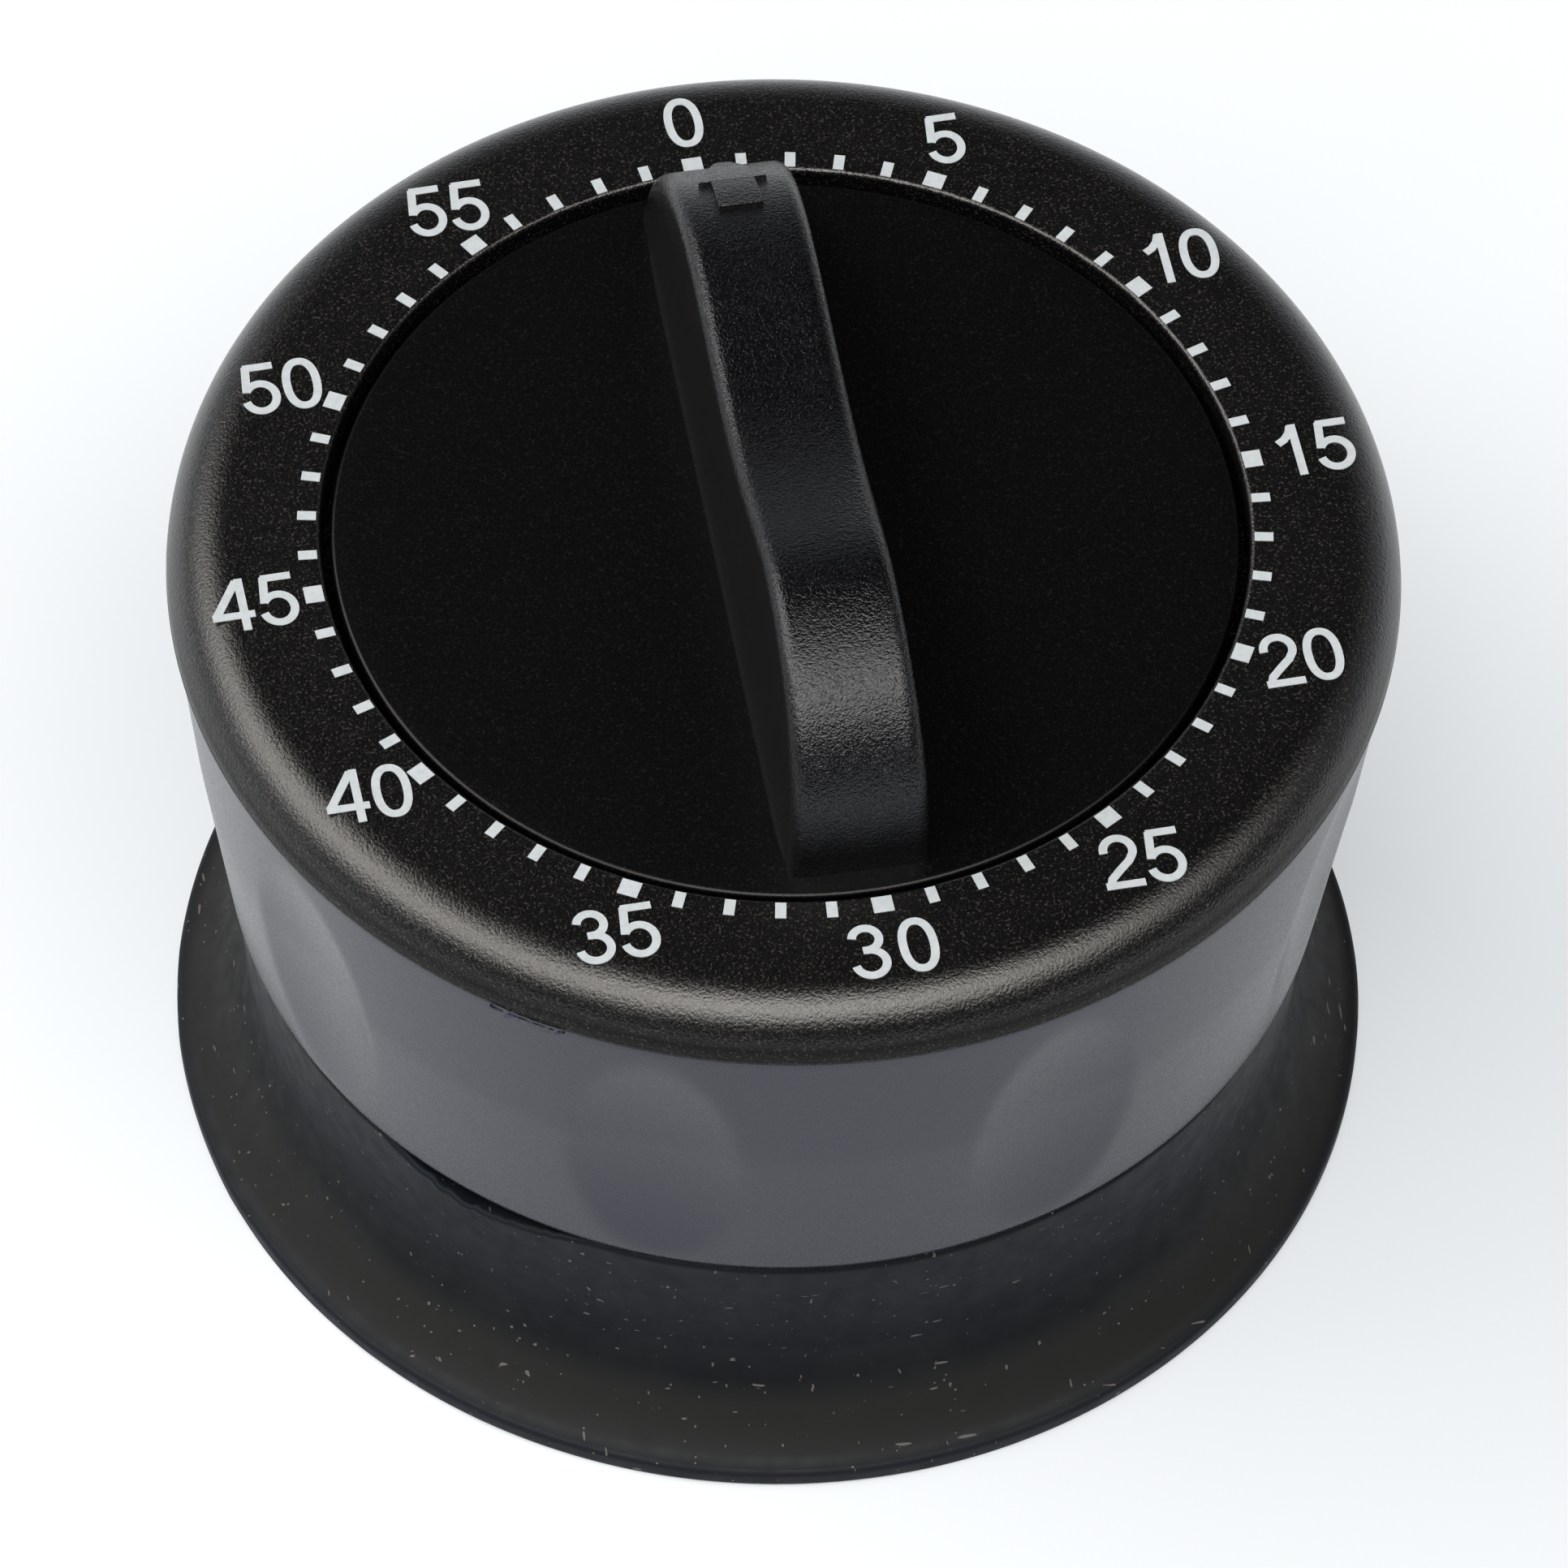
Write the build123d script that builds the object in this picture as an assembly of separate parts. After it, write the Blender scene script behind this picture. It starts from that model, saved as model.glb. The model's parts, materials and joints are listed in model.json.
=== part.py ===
from build123d import *
from math import atan, cos, degrees, pi, radians, sin, sqrt
import os

# Mechanical sixty-minute kitchen timer. Millimetres, +Z up, origin at the middle of the base
# on the table. +Y points from the centre of the dial to its zero mark and +X to fifteen.

# --- driving dimensions -------------------------------------------------------------------
TOP_Z = 48.1               # numbered face of the cap
CAP_R = 37.5               # outside of the cap
CAP_EDGE_R = 3.7           # rounding of the cap's outer edge
SEAM_Z = 44.2              # joint between the cap and the case
SEAM_CHAMFER = 0.15
RING_INNER_R = 28.1        # opening of the numbered ring
RING_LIP_R = 0.35          # rounding of the ring's inner edge
HUB_HOLE_R = 5.6
CUT = 0.1                  # how far a cutting body passes the surface it opens
WEB_TOP_Z = 44.4           # floor of the recess under the knob
WEB_BOTTOM_Z = 42.8
WALL = 2.0
SPIGOT_R = 35.2            # ring of the cap that plugs into the case
SPIGOT_Z = 40.6

CASE_FOOT_R = 34.1         # lower end of the tapered case
CASE_FOOT_Z = 19.2
CASE_BULGE = 0.25          # how far the taper stands out from a straight cone
SHOULDER_Z = 18.1
SOCKET_R = 31.5            # part of the case that sits inside the rubber
CASE_BOTTOM_Z = 9.6
CASE_FLOOR_Z = 11.6
SOCKET_CHAMFER = 0.8
SPIGOT_FIT = 0.05
STEP_BELOW = 0.6           # room left under the cap's spigot and over the shoulder
HEEL_R = 1.2
HEEL_SAG = 0.35
DIMPLE_HALF = 14.0         # half length of the barrel that cuts a dimple
DIMPLES = 9
DIMPLE_SPACING = 360 / DIMPLES
DIMPLE_FIRST = 246.4       # direction of the first dimple, in degrees from +X
DIMPLE_DEPTH = 0.72
DIMPLE_Z = 30.6
DIMPLE_R_ACROSS = 45.0
DIMPLE_R_ALONG = 93.0

FOOT_RIM_R = 37.5
FOOT_RIM_T = 1.3
FOOT_WAIST_R = 33.1
FOOT_WAIST_Z = 8.4
COLLAR_R = 33.8
COLLAR_TOP_Z = 18.0
COLLAR_BORE_R = 31.55
CUP_FLOOR_Z = 9.55
HOLLOW_Z = 6.2
RIM_FLAT = 0.9
RIM_EDGE = 0.5
SKIRT_TOP_R = 37.15
SKIRT_MIDDLE = (34.9, 3.55)
HOLLOW_MIDDLE = (22.0, 4.4)
LIP_EDGE = 0.5

KNOB_R = 27.5
KNOB_EDGE_R = 0.3
KNOB_TOP_Z = 47.6
KNOB_T = 2.0
KNOB_TURN = -2.0           # the knob stands a third of a minute past zero
HUB_R = 5.0
HUB_Z = 40.7
HUB_TOP_Z = 47.1
GRIP_HALF = 4.38           # half width of the grip where it meets the disc
GRIP_DRAFT = 0.042         # how much the half width shrinks per millimetre of height
GRIP_EDGE_R = 0.9
GRIP_WALL = 2.0
GRIP_ROOT = 1.0            # how deep the grip's outline reaches into the disc
GRIP_REACH = 22.0          # tall enough to pass over the hump
GRIP_TOP = (               # side view of the grip's top, (y, z), from its near end to the pointer
    (-25.9, 47.6), (-25.2, 53.0), (-23.6, 56.0), (-20.9, 58.6), (-17.2, 60.3), (-13.2, 60.9), (-9.0, 60.1),
    (-4.2, 58.9), (0.5, 58.4), (6.0, 58.6), (12.0, 58.9), (16.6, 58.4), (21.0, 56.4), (24.4, 53.0), (26.6, 47.6),
)
ARROW_RELIEF = 0.35
ARROW_STEM_HALF = 1.35
ARROW_HEAD_HALF = 2.1
ARROW_START_Y = 16.6
ARROW_BARB_Y = 19.6
ARROW_TIP_Y = 24.0
ARROW_BASE_Z = 49.6

SCREW_R = 1.25
SCREW_HEAD_R = 2.2
SCREW_HEAD_T = 1.5
HEAD_GAP = 0.2             # clearance round a screw head
SHANK_GAP = 0.15           # clearance round a screw shank
CROSS_L = 2.4
CROSS_W = 0.6
CROSS_DEEP = 0.6
CASE_SCREW_PCR = 28.6
CASE_SCREW_ANGLES = (30, 150, 270)
CASE_SCREW_SEAT_Z = 20.0
CASE_SCREW_LENGTH = 16.0
POST_R = 3.3
POST_TOP_Z = 26.0
BOSS_R = 2.7
MOVE_SCREW_PCR = 21.5
MOVE_SCREW_ANGLES = (0, 168, 278)
MOVE_SCREW_LENGTH = 6.5

PLATE_R = 24.5
PLATE_T = 1.2
FRONT_PLATE_Z = 37.0
BACK_PLATE_Z = 22.0
PILLAR_R = 1.6
PILLAR_PCR = 22.0
PILLAR_ANGLES = (146, 196, 240, 318)
PILLAR_STUD_R = 0.9
NUT_R = 1.9
NUT_T = 1.2
STUD_STAND = 0.2           # how far a pillar's stud stands past its nut

RUN = 0.05                 # radial clearance of a pivot in its hole
ARBOR_R = 2.0
ARBOR_PIVOT_R = 1.2
ARBOR_TOP_Z = 46.6
D_FLAT = 1.4               # distance of the flat from the arbor's axis
FIT = 0.02                 # clearance of the knob's bore on the arbor
FLAT_DROP = 0.2            # the arbor's flat starts this far below the hub
FLAT_REACH = 10.0
BUSH_R = 3.4
BUSH_FLANGE_R = 4.2
BUSH_TOP_Z = 39.0
PIVOT_R = 0.45
STAFF_R = 0.75
GEAR_T = 1.0
STAFF_GAP = 0.3            # end float of an arbor between the plates
FLANGE_R = 4.0
FLANGE_T = 0.5
WASHER_R = 3.4
WASHER_ARM_L = 6.0
WASHER_ARM_W = 1.6
WASHER_ARMS = 3
WASHER_T = 0.35
CLIP_R = 3.0
CLIP_SLOT = 1.6
CLIP_T = 0.5

CAM_R = 7.0
CAM_NOTCH_R = 5.8
CAM_NOTCH_FLOOR = 12.0     # half width of the notch at its floor, in degrees
CAM_MOUTH_R = 9.0
CAM_MOUTH = 30.0           # half width at the mouth radius, in degrees
CAM_Z = 35.0
MAIN_WHEEL_Z = 30.2
SECOND_WHEEL_Z = 33.0
THIRD_WHEEL_Z = 35.2
ESCAPE_WHEEL_Z = 32.0
STAR_Z = 35.0
SPRING_Z = 24.4
SPRING_H = 4.6
SPRING_T = 0.35
SPRING_PITCH = 1.25
SPRING_TURNS = 7
SPRING_INNER_R = 2.35
SPRING_POST_R = 1.0
POST_STAND = 0.4

MAIN_TEETH = 72
SECOND_LEAVES = 8
SECOND_TEETH = 64
THIRD_LEAVES = 8
THIRD_TEETH = 40
ESCAPE_LEAVES = 8
ESCAPE_TEETH = 15
STAR_TEETH = 20
MOD_MAIN = 0.40
MOD_SECOND = 0.35
MOD_THIRD = 0.35
WHEEL_TOOTH = 1.5          # tooth thickness at the pitch circle, in modules
LEAF_TOOTH = 1.05          # the same for a pinion leaf
ROOT_DEPTH = 1.15          # depth below the pitch circle, in modules
SECOND_DIRECTION = 90      # of each arbor from the one that drives it, in degrees
THIRD_DIRECTION = -20
ESCAPE_DIRECTION = -60
LEAF_SINK = 0.4            # leaves start this far below the wheel they run with
SECOND_LEAF_T = 2.0
THIRD_LEAF_T = 1.8
ESCAPE_LEAF_T = 1.6
MAIN_HOLES = (9.0, 2.6, 5)     # lightening holes: circle radius, hole radius, count
SECOND_HOLES = (6.4, 2.2, 5)
THIRD_HOLES = (4.0, 1.4, 4)
ESCAPE_HOLES = (2.7, 0.8, 5)
ESCAPE_R = 6.0
ESCAPE_DEPTH = 1.5
ESCAPE_T = 0.8
TOOTH_ROOT = 0.62          # a ratchet tooth's corners, in tooth pitches from its tip
TOOTH_HEEL = 0.12
TOOTH_LAND = 0.06
STAR_R = 4.2
STAR_DEPTH = 1.0
STAR_GAP = 0.63            # middle of the gap between two teeth, in tooth pitches

ANCHOR_REACH = 8.6         # from the escape arbor to the anchor's arbor
PALLET_SPAN = 2.5          # teeth between the two pallet pins
ESCAPE_PHASE = 0.45        # where a tooth tip stands between the pins, in tooth pitches
PALLET_R = 0.3
PALLET_GAP = 0.12          # pallet pin to tooth tip when the anchor is in the middle
PIN_STAND = 0.3
ANCHOR_Z = 33.1
ANCHOR_T = 0.8
ANCHOR_BOSS_R = 1.7
ANCHOR_ARM_W = 1.3
INERTIA_R = 4.9
INERTIA_Z = 25.4
INERTIA_T = 1.6
INERTIA_RIM = 1.0
INERTIA_SPOKE = 1.2
INERTIA_HUB_R = 1.8

BELL_R = 24.0
BELL_RIM_Z = 20.4
BELL_CROWN_Z = 12.6
BELL_T = 0.8
BELL_BEND_R = 5.0
BELL_SCREW_R = 1.5
BELL_SCREW_L = 6.0
BELL_SCREW_HEAD_R = 2.6
BELL_SCREW_HEAD_T = 0.9
BELL_SLOT_W = 0.7
BELL_SLOT_DEEP = 0.4
BELL_POST_R = 3.0
BELL_POST_CROWN = 2.0      # solid end of the post under the back plate
HAMMER_Z = 20.4
HAMMER_HEAD_R = 1.8
HAMMER_HEAD_H = 4.6
HAMMER_DIRECTION = 157
HAMMER_GAP = 0.9           # head to bell with the hammer held off
HAMMER_BOSS_R = 1.8
HAMMER_ARM_W = 1.8
HAMMER_ARM_T = 1.0
RIVET_R = 0.7
TAIL_GAP = 0.15            # tail tip to the star's tooth tips
TAIL_ROOT = 0.9            # edges of the tail, from its centre line
TAIL_WAIST = 0.1
TAIL_TOP = 1.2
TAIL_BACK = 1.9
TAIL_TIP_W = 0.25          # half width of the tip
HEEL_AT = 6.8              # heel of the tail, from the hammer's arbor
HEEL_HALF = 0.5
HEEL_DROP = 0.9
DETENT_BOSS_R = 1.7
FINGER_R = 0.45
FINGER_GAP = 0.8
NOSE_R = 0.6
NOSE_GAP = 0.1
STUD_HEAD_R = 1.2
STUD_HEAD_T = 0.7
STUD_GAP = 0.3
LEVER_Z = 35.0
LEVER_T = 1.0
COIL_WIRE_R = 0.2
COIL_GAP = 0.15
COIL_PITCH = 0.6
COIL_Z = 25.0
COIL_HEIGHT = 3.6
STRIP_ROOT = (-16.5, 4.0)
STRIP_TIP = (-9.45, 4.2)
STRIP_FOOT = 2.2


def polar(radius, angle):
    return (radius * cos(radians(angle)), radius * sin(radians(angle)))


def step_from(point, radius, angle):
    dx, dy = polar(radius, angle)
    return (point[0] + dx, point[1] + dy)


# Arbor positions, each worked out from the one that drives it.
MAIN = (0.0, 0.0)
SECOND = step_from(MAIN, MOD_MAIN * (MAIN_TEETH + SECOND_LEAVES) / 2, SECOND_DIRECTION)
THIRD = step_from(SECOND, MOD_SECOND * (SECOND_TEETH + THIRD_LEAVES) / 2, THIRD_DIRECTION)
ESCAPE = step_from(THIRD, MOD_THIRD * (THIRD_TEETH + ESCAPE_LEAVES) / 2, ESCAPE_DIRECTION)
ANCHOR_DIRECTION = -75
ANCHOR = step_from(ESCAPE, ANCHOR_REACH, ANCHOR_DIRECTION)
HAMMER = (-12.4, 17.5)
DETENT = (-8.5, 10.2)
HAMMER_HEAD = polar(BELL_R - BELL_T - HAMMER_GAP - HAMMER_HEAD_R, HAMMER_DIRECTION)
PIVOTS = {"second": SECOND, "third": THIRD, "escape": ESCAPE, "anchor": ANCHOR, "hammer": HAMMER}


def rod(radius, z0, z1, at=(0, 0)):
    return Pos(at[0], at[1], z0) * Cylinder(radius, z1 - z0, align=(Align.CENTER, Align.CENTER, Align.MIN))


def plate_from(face, z0, thickness):
    return Pos(0, 0, z0) * extrude(face, thickness)


def turned(points):
    """A body of revolution from a closed (radius, height) outline."""
    outline = Plane.XZ * Polyline(*points, close=True)
    return revolve(make_face(outline), Axis.Z)


def link(start, end, width):
    """A round-ended bar between two points."""
    dx = end[0] - start[0]
    dy = end[1] - start[1]
    angle = degrees(atan(dy / dx)) if dx else 90
    middle = ((start[0] + end[0]) / 2, (start[1] + end[1]) / 2)
    slot = SlotCenterToCenter(sqrt(dx * dx + dy * dy), width)
    return Pos(middle[0], middle[1]) * Rot(0, 0, angle) * slot


def save(name, shape):
    export_step(shape, f"parts/{name}.step")


# --- outside ------------------------------------------------------------------------------
def dial_cap():
    edge_start = CAP_R - CAP_EDGE_R
    edge_mid = edge_start + CAP_EDGE_R * sin(pi / 4)
    top_mid = TOP_Z - CAP_EDGE_R + CAP_EDGE_R * sin(pi / 4)
    edge_end = TOP_Z - CAP_EDGE_R
    wall_r = CAP_R - SEAM_CHAMFER
    profile = Polyline(
        (wall_r, SEAM_Z), (SPIGOT_R, SEAM_Z), (SPIGOT_R, SPIGOT_Z), (SPIGOT_R - WALL, SPIGOT_Z),
        (SPIGOT_R - WALL, TOP_Z - WALL), (RING_INNER_R + WALL, TOP_Z - WALL),
        (RING_INNER_R + WALL, WEB_BOTTOM_Z), (HUB_HOLE_R, WEB_BOTTOM_Z), (HUB_HOLE_R, WEB_TOP_Z),
        (RING_INNER_R, WEB_TOP_Z), (RING_INNER_R, TOP_Z - RING_LIP_R),
    )
    lip_sag = RING_LIP_R * (1 - sin(pi / 4))
    lip = ThreePointArc((RING_INNER_R, TOP_Z - RING_LIP_R), (RING_INNER_R + lip_sag, TOP_Z - lip_sag),
                        (RING_INNER_R + RING_LIP_R, TOP_Z))
    face = Line((RING_INNER_R + RING_LIP_R, TOP_Z), (edge_start, TOP_Z))
    edge = ThreePointArc((edge_start, TOP_Z), (edge_mid, top_mid), (CAP_R, edge_end))
    wall = Polyline((CAP_R, edge_end), (CAP_R, SEAM_Z + SEAM_CHAMFER), (wall_r, SEAM_Z))
    body = revolve(make_face(Plane.XZ * (profile + lip + face + edge + wall)), Axis.Z)
    for angle in CASE_SCREW_ANGLES:
        at = polar(CASE_SCREW_PCR, angle)
        body += rod(BOSS_R, POST_TOP_Z, WEB_BOTTOM_Z, at)
        body -= rod(SCREW_R, POST_TOP_Z, WEB_BOTTOM_Z - WALL, at)
    for angle in MOVE_SCREW_ANGLES:
        at = polar(MOVE_SCREW_PCR, angle)
        body += rod(BOSS_R, FRONT_PLATE_Z + PLATE_T, WEB_BOTTOM_Z, at)
        body -= rod(SCREW_R, FRONT_PLATE_Z + PLATE_T, WEB_BOTTOM_Z, at)
    return body


def dimple_cutter():
    """A barrel whose side is the hollow of a finger dimple, lying along the taper."""
    slope = (CAP_R - CASE_FOOT_R) / (SEAM_Z - CASE_FOOT_Z)
    surface = CASE_FOOT_R + slope * (DIMPLE_Z - CASE_FOOT_Z) + CASE_BULGE
    half = DIMPLE_HALF
    sag = DIMPLE_R_ALONG - sqrt(DIMPLE_R_ALONG ** 2 - half ** 2)
    edge = ThreePointArc((sag - DIMPLE_R_ACROSS, -half), (-DIMPLE_R_ACROSS, 0), (sag - DIMPLE_R_ACROSS, half))
    back = Polyline((sag - DIMPLE_R_ACROSS, half), (0, half), (0, -half), (sag - DIMPLE_R_ACROSS, -half))
    barrel = revolve(make_face(Plane.XZ * (edge + back)), Axis.Z)
    centre = surface - DIMPLE_DEPTH + DIMPLE_R_ACROSS
    return Pos(centre, 0, DIMPLE_Z) * Rot(0, degrees(atan(slope)), 0) * barrel


def lower_case():
    top_r = CAP_R - SEAM_CHAMFER
    mid_r = (top_r + CASE_FOOT_R) / 2 + CASE_BULGE
    mid_z = (SEAM_Z + CASE_FOOT_Z) / 2
    taper = ThreePointArc((top_r, SEAM_Z - SEAM_CHAMFER), (mid_r, mid_z), (CASE_FOOT_R, CASE_FOOT_Z))
    heel = ThreePointArc((CASE_FOOT_R, CASE_FOOT_Z), (CASE_FOOT_R - HEEL_SAG, SHOULDER_Z + HEEL_SAG),
                         (CASE_FOOT_R - HEEL_R, SHOULDER_Z))
    rest = Polyline(
        (CASE_FOOT_R - HEEL_R, SHOULDER_Z), (SOCKET_R, SHOULDER_Z), (SOCKET_R, CASE_BOTTOM_Z + SOCKET_CHAMFER),
        (SOCKET_R - SOCKET_CHAMFER, CASE_BOTTOM_Z), (0, CASE_BOTTOM_Z), (0, CASE_FLOOR_Z),
        (SOCKET_R - WALL, CASE_FLOOR_Z), (SOCKET_R - WALL, SHOULDER_Z + STEP_BELOW),
        (CASE_FOOT_R - WALL, SHOULDER_Z + WALL + STEP_BELOW),
        (SPIGOT_R + SPIGOT_FIT, SPIGOT_Z - STEP_BELOW), (SPIGOT_R + SPIGOT_FIT, SEAM_Z),
        (top_r - SEAM_CHAMFER, SEAM_Z), (top_r, SEAM_Z - SEAM_CHAMFER),
    )
    body = revolve(make_face(Plane.XZ * (taper + heel + rest)), Axis.Z)
    for angle in CASE_SCREW_ANGLES:
        at = polar(CASE_SCREW_PCR, angle)
        body += rod(POST_R, CASE_FLOOR_Z, POST_TOP_Z, at) & rod(SOCKET_R, CASE_FLOOR_Z, POST_TOP_Z)
        body -= rod(SCREW_HEAD_R + HEAD_GAP, CASE_BOTTOM_Z, CASE_SCREW_SEAT_Z, at)
        body -= rod(SCREW_R + SHANK_GAP, CASE_SCREW_SEAT_Z, POST_TOP_Z, at)
    cutter = dimple_cutter()
    for index in range(DIMPLES):
        body -= Rot(0, 0, DIMPLE_FIRST + index * DIMPLE_SPACING) * cutter
    return body


def suction_foot():
    """Rubber cup: a collar round the case, a waist and a flared skirt that grips the table."""
    skirt = ThreePointArc((SKIRT_TOP_R, FOOT_RIM_T), SKIRT_MIDDLE, (FOOT_WAIST_R, FOOT_WAIST_Z))
    collar = Line((FOOT_WAIST_R, FOOT_WAIST_Z), (COLLAR_R, COLLAR_TOP_Z - LIP_EDGE))
    sag = LIP_EDGE * (1 - sin(pi / 4))
    lip = ThreePointArc((COLLAR_R, COLLAR_TOP_Z - LIP_EDGE), (COLLAR_R - sag, COLLAR_TOP_Z - sag),
                        (COLLAR_R - LIP_EDGE, COLLAR_TOP_Z))
    bore = Polyline((COLLAR_R - LIP_EDGE, COLLAR_TOP_Z), (COLLAR_BORE_R, COLLAR_TOP_Z),
                    (COLLAR_BORE_R, CUP_FLOOR_Z), (0, CUP_FLOOR_Z), (0, HOLLOW_Z))
    flat_r = FOOT_RIM_R - RIM_EDGE
    hollow = ThreePointArc((0, HOLLOW_Z), HOLLOW_MIDDLE, (flat_r - RIM_FLAT, 0))
    flat = Line((flat_r - RIM_FLAT, 0), (flat_r, 0))
    rim = ThreePointArc((flat_r, 0), (FOOT_RIM_R, FOOT_RIM_T / 2), (SKIRT_TOP_R, FOOT_RIM_T))
    outline = skirt + collar + lip + bore + hollow + flat + rim
    return revolve(make_face(Plane.XZ * outline), Axis.Z)


def grip_face(drop=0.0):
    """Side view of the grip, or with a drop the side view of the hollow inside it."""
    shrink = 1 - drop / KNOB_R
    points = [(y * shrink, max(KNOB_TOP_Z, z - drop)) for y, z in GRIP_TOP]
    base = KNOB_TOP_Z - (KNOB_T + CUT if drop else GRIP_ROOT)
    near, far = points[0], points[-1]
    sides = Polyline(far, (far[0], base), (near[0], base), near)
    return make_face(Plane.YZ * (Spline(*points) + sides))


def grip_block(drop=0.0):
    side = extrude(grip_face(drop), 2 * GRIP_HALF, both=True)
    half_base = GRIP_HALF - drop + GRIP_DRAFT * KNOB_T
    half_top = half_base - GRIP_DRAFT * GRIP_REACH
    low = KNOB_TOP_Z - KNOB_T - 2 * CUT
    high = low + GRIP_REACH
    section = Polyline((-half_base, low), (half_base, low), (half_top, high), (-half_top, high), close=True)
    return side & extrude(make_face(Plane.XZ * section), 2 * KNOB_R, both=True)


def arrow():
    """Pointer mark standing proud of the grip's far end."""
    right = [(ARROW_STEM_HALF, ARROW_START_Y), (ARROW_STEM_HALF, ARROW_BARB_Y), (ARROW_HEAD_HALF, ARROW_BARB_Y)]
    left = [(-x, y) for x, y in reversed(right)]
    shape = Polyline(*right, (0, ARROW_TIP_Y), *left, close=True)
    column = plate_from(make_face(shape), ARROW_BASE_Z, GRIP_REACH)
    return column & (Pos(0, 0, ARROW_RELIEF) * grip_block())


def arbor_flat(gap, z0):
    """Block that leaves the flat of the D-shaped arbor, or of its bore."""
    block = Box(2 * ARBOR_R, 3 * ARBOR_R, FLAT_REACH, align=(Align.CENTER, Align.CENTER, Align.MIN))
    return Pos(ARBOR_R + D_FLAT + gap, 0, z0) * block


def knob():
    disc = rod(KNOB_R, KNOB_TOP_Z - KNOB_T, KNOB_TOP_Z)
    disc = fillet(disc.edges().sort_by(Axis.Z)[-1], KNOB_EDGE_R)
    grip = grip_block()
    grip = fillet(grip.edges().sort_by(SortBy.LENGTH)[-2:], GRIP_EDGE_R)
    body = disc + grip + arrow()
    body -= grip_block(GRIP_WALL)
    body += rod(HUB_R, HUB_Z, HUB_TOP_Z)
    bore = rod(ARBOR_R + FIT, HUB_Z, ARBOR_TOP_Z + CUT)
    bore -= arbor_flat(FIT, HUB_Z)
    return Rot(0, 0, KNOB_TURN) * (body - bore)


# --- fasteners ----------------------------------------------------------------------------
def cross_screw(at, seat_z, length):
    """Pan head screw seen from below: the head hangs under its seat and the shank goes up."""
    body = rod(SCREW_HEAD_R, seat_z - SCREW_HEAD_T, seat_z, at) + rod(SCREW_R, seat_z, seat_z + length, at)
    cross = Box(CROSS_L, CROSS_W, 2 * CROSS_DEEP) + Box(CROSS_W, CROSS_L, 2 * CROSS_DEEP)
    return body - Pos(at[0], at[1], seat_z - SCREW_HEAD_T) * cross


def case_screws():
    return Compound([cross_screw(polar(CASE_SCREW_PCR, a), CASE_SCREW_SEAT_Z, CASE_SCREW_LENGTH)
                     for a in CASE_SCREW_ANGLES])


def movement_screws():
    return Compound([cross_screw(polar(MOVE_SCREW_PCR, a), FRONT_PLATE_Z, MOVE_SCREW_LENGTH - PLATE_T)
                     for a in MOVE_SCREW_ANGLES])


# --- movement frame -----------------------------------------------------------------------
def front_plate():
    body = rod(PLATE_R, FRONT_PLATE_Z, FRONT_PLATE_Z + PLATE_T)
    body -= rod(BUSH_R, FRONT_PLATE_Z, FRONT_PLATE_Z + PLATE_T)
    for at in PIVOTS.values():
        body -= rod(PIVOT_R + RUN, FRONT_PLATE_Z, FRONT_PLATE_Z + PLATE_T, at)
    for angle in PILLAR_ANGLES:
        body -= rod(PILLAR_STUD_R, FRONT_PLATE_Z, FRONT_PLATE_Z + PLATE_T, polar(PILLAR_PCR, angle))
    for angle in MOVE_SCREW_ANGLES:
        body -= rod(SCREW_R, FRONT_PLATE_Z, FRONT_PLATE_Z + PLATE_T, polar(MOVE_SCREW_PCR, angle))
    return body - rod(PIVOT_R, FRONT_PLATE_Z, FRONT_PLATE_Z + PLATE_T, DETENT)


def back_plate():
    body = rod(PLATE_R, BACK_PLATE_Z, BACK_PLATE_Z + PLATE_T)
    body -= rod(ARBOR_PIVOT_R + RUN, BACK_PLATE_Z, BACK_PLATE_Z + PLATE_T)
    for name, at in PIVOTS.items():
        radius = STAFF_R if name == "hammer" else PIVOT_R
        body -= rod(radius + RUN, BACK_PLATE_Z, BACK_PLATE_Z + PLATE_T, at)
    for angle in PILLAR_ANGLES:
        body -= rod(PILLAR_STUD_R, BACK_PLATE_Z, BACK_PLATE_Z + PLATE_T, polar(PILLAR_PCR, angle))
    return body


def plate_pillars():
    pillars = []
    for angle in PILLAR_ANGLES:
        at = polar(PILLAR_PCR, angle)
        pillar = rod(PILLAR_R, BACK_PLATE_Z + PLATE_T, FRONT_PLATE_Z, at)
        pillar += rod(PILLAR_STUD_R, BACK_PLATE_Z, FRONT_PLATE_Z + PLATE_T + NUT_T + STUD_STAND, at)
        pillars.append(pillar)
    return Compound(pillars)


def pillar_nuts():
    nuts = []
    for angle in PILLAR_ANGLES:
        at = polar(PILLAR_PCR, angle)
        face = Pos(at[0], at[1]) * (RegularPolygon(NUT_R, 6) - Circle(PILLAR_STUD_R))
        nuts.append(plate_from(face, FRONT_PLATE_Z + PLATE_T, NUT_T))
    return Compound(nuts)


def arbor_bush():
    tube = rod(BUSH_R, FRONT_PLATE_Z, FRONT_PLATE_Z + PLATE_T)
    tube += rod(BUSH_FLANGE_R, FRONT_PLATE_Z + PLATE_T, BUSH_TOP_Z)
    return tube - rod(ARBOR_R + RUN, FRONT_PLATE_Z, BUSH_TOP_Z)


def detent_stud():
    head_z = LEVER_Z - STUD_GAP
    stud = rod(PIVOT_R, head_z - STUD_HEAD_T / 2, FRONT_PLATE_Z + PLATE_T, DETENT)
    return stud + rod(STUD_HEAD_R, head_z - STUD_HEAD_T, head_z, DETENT)


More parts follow.
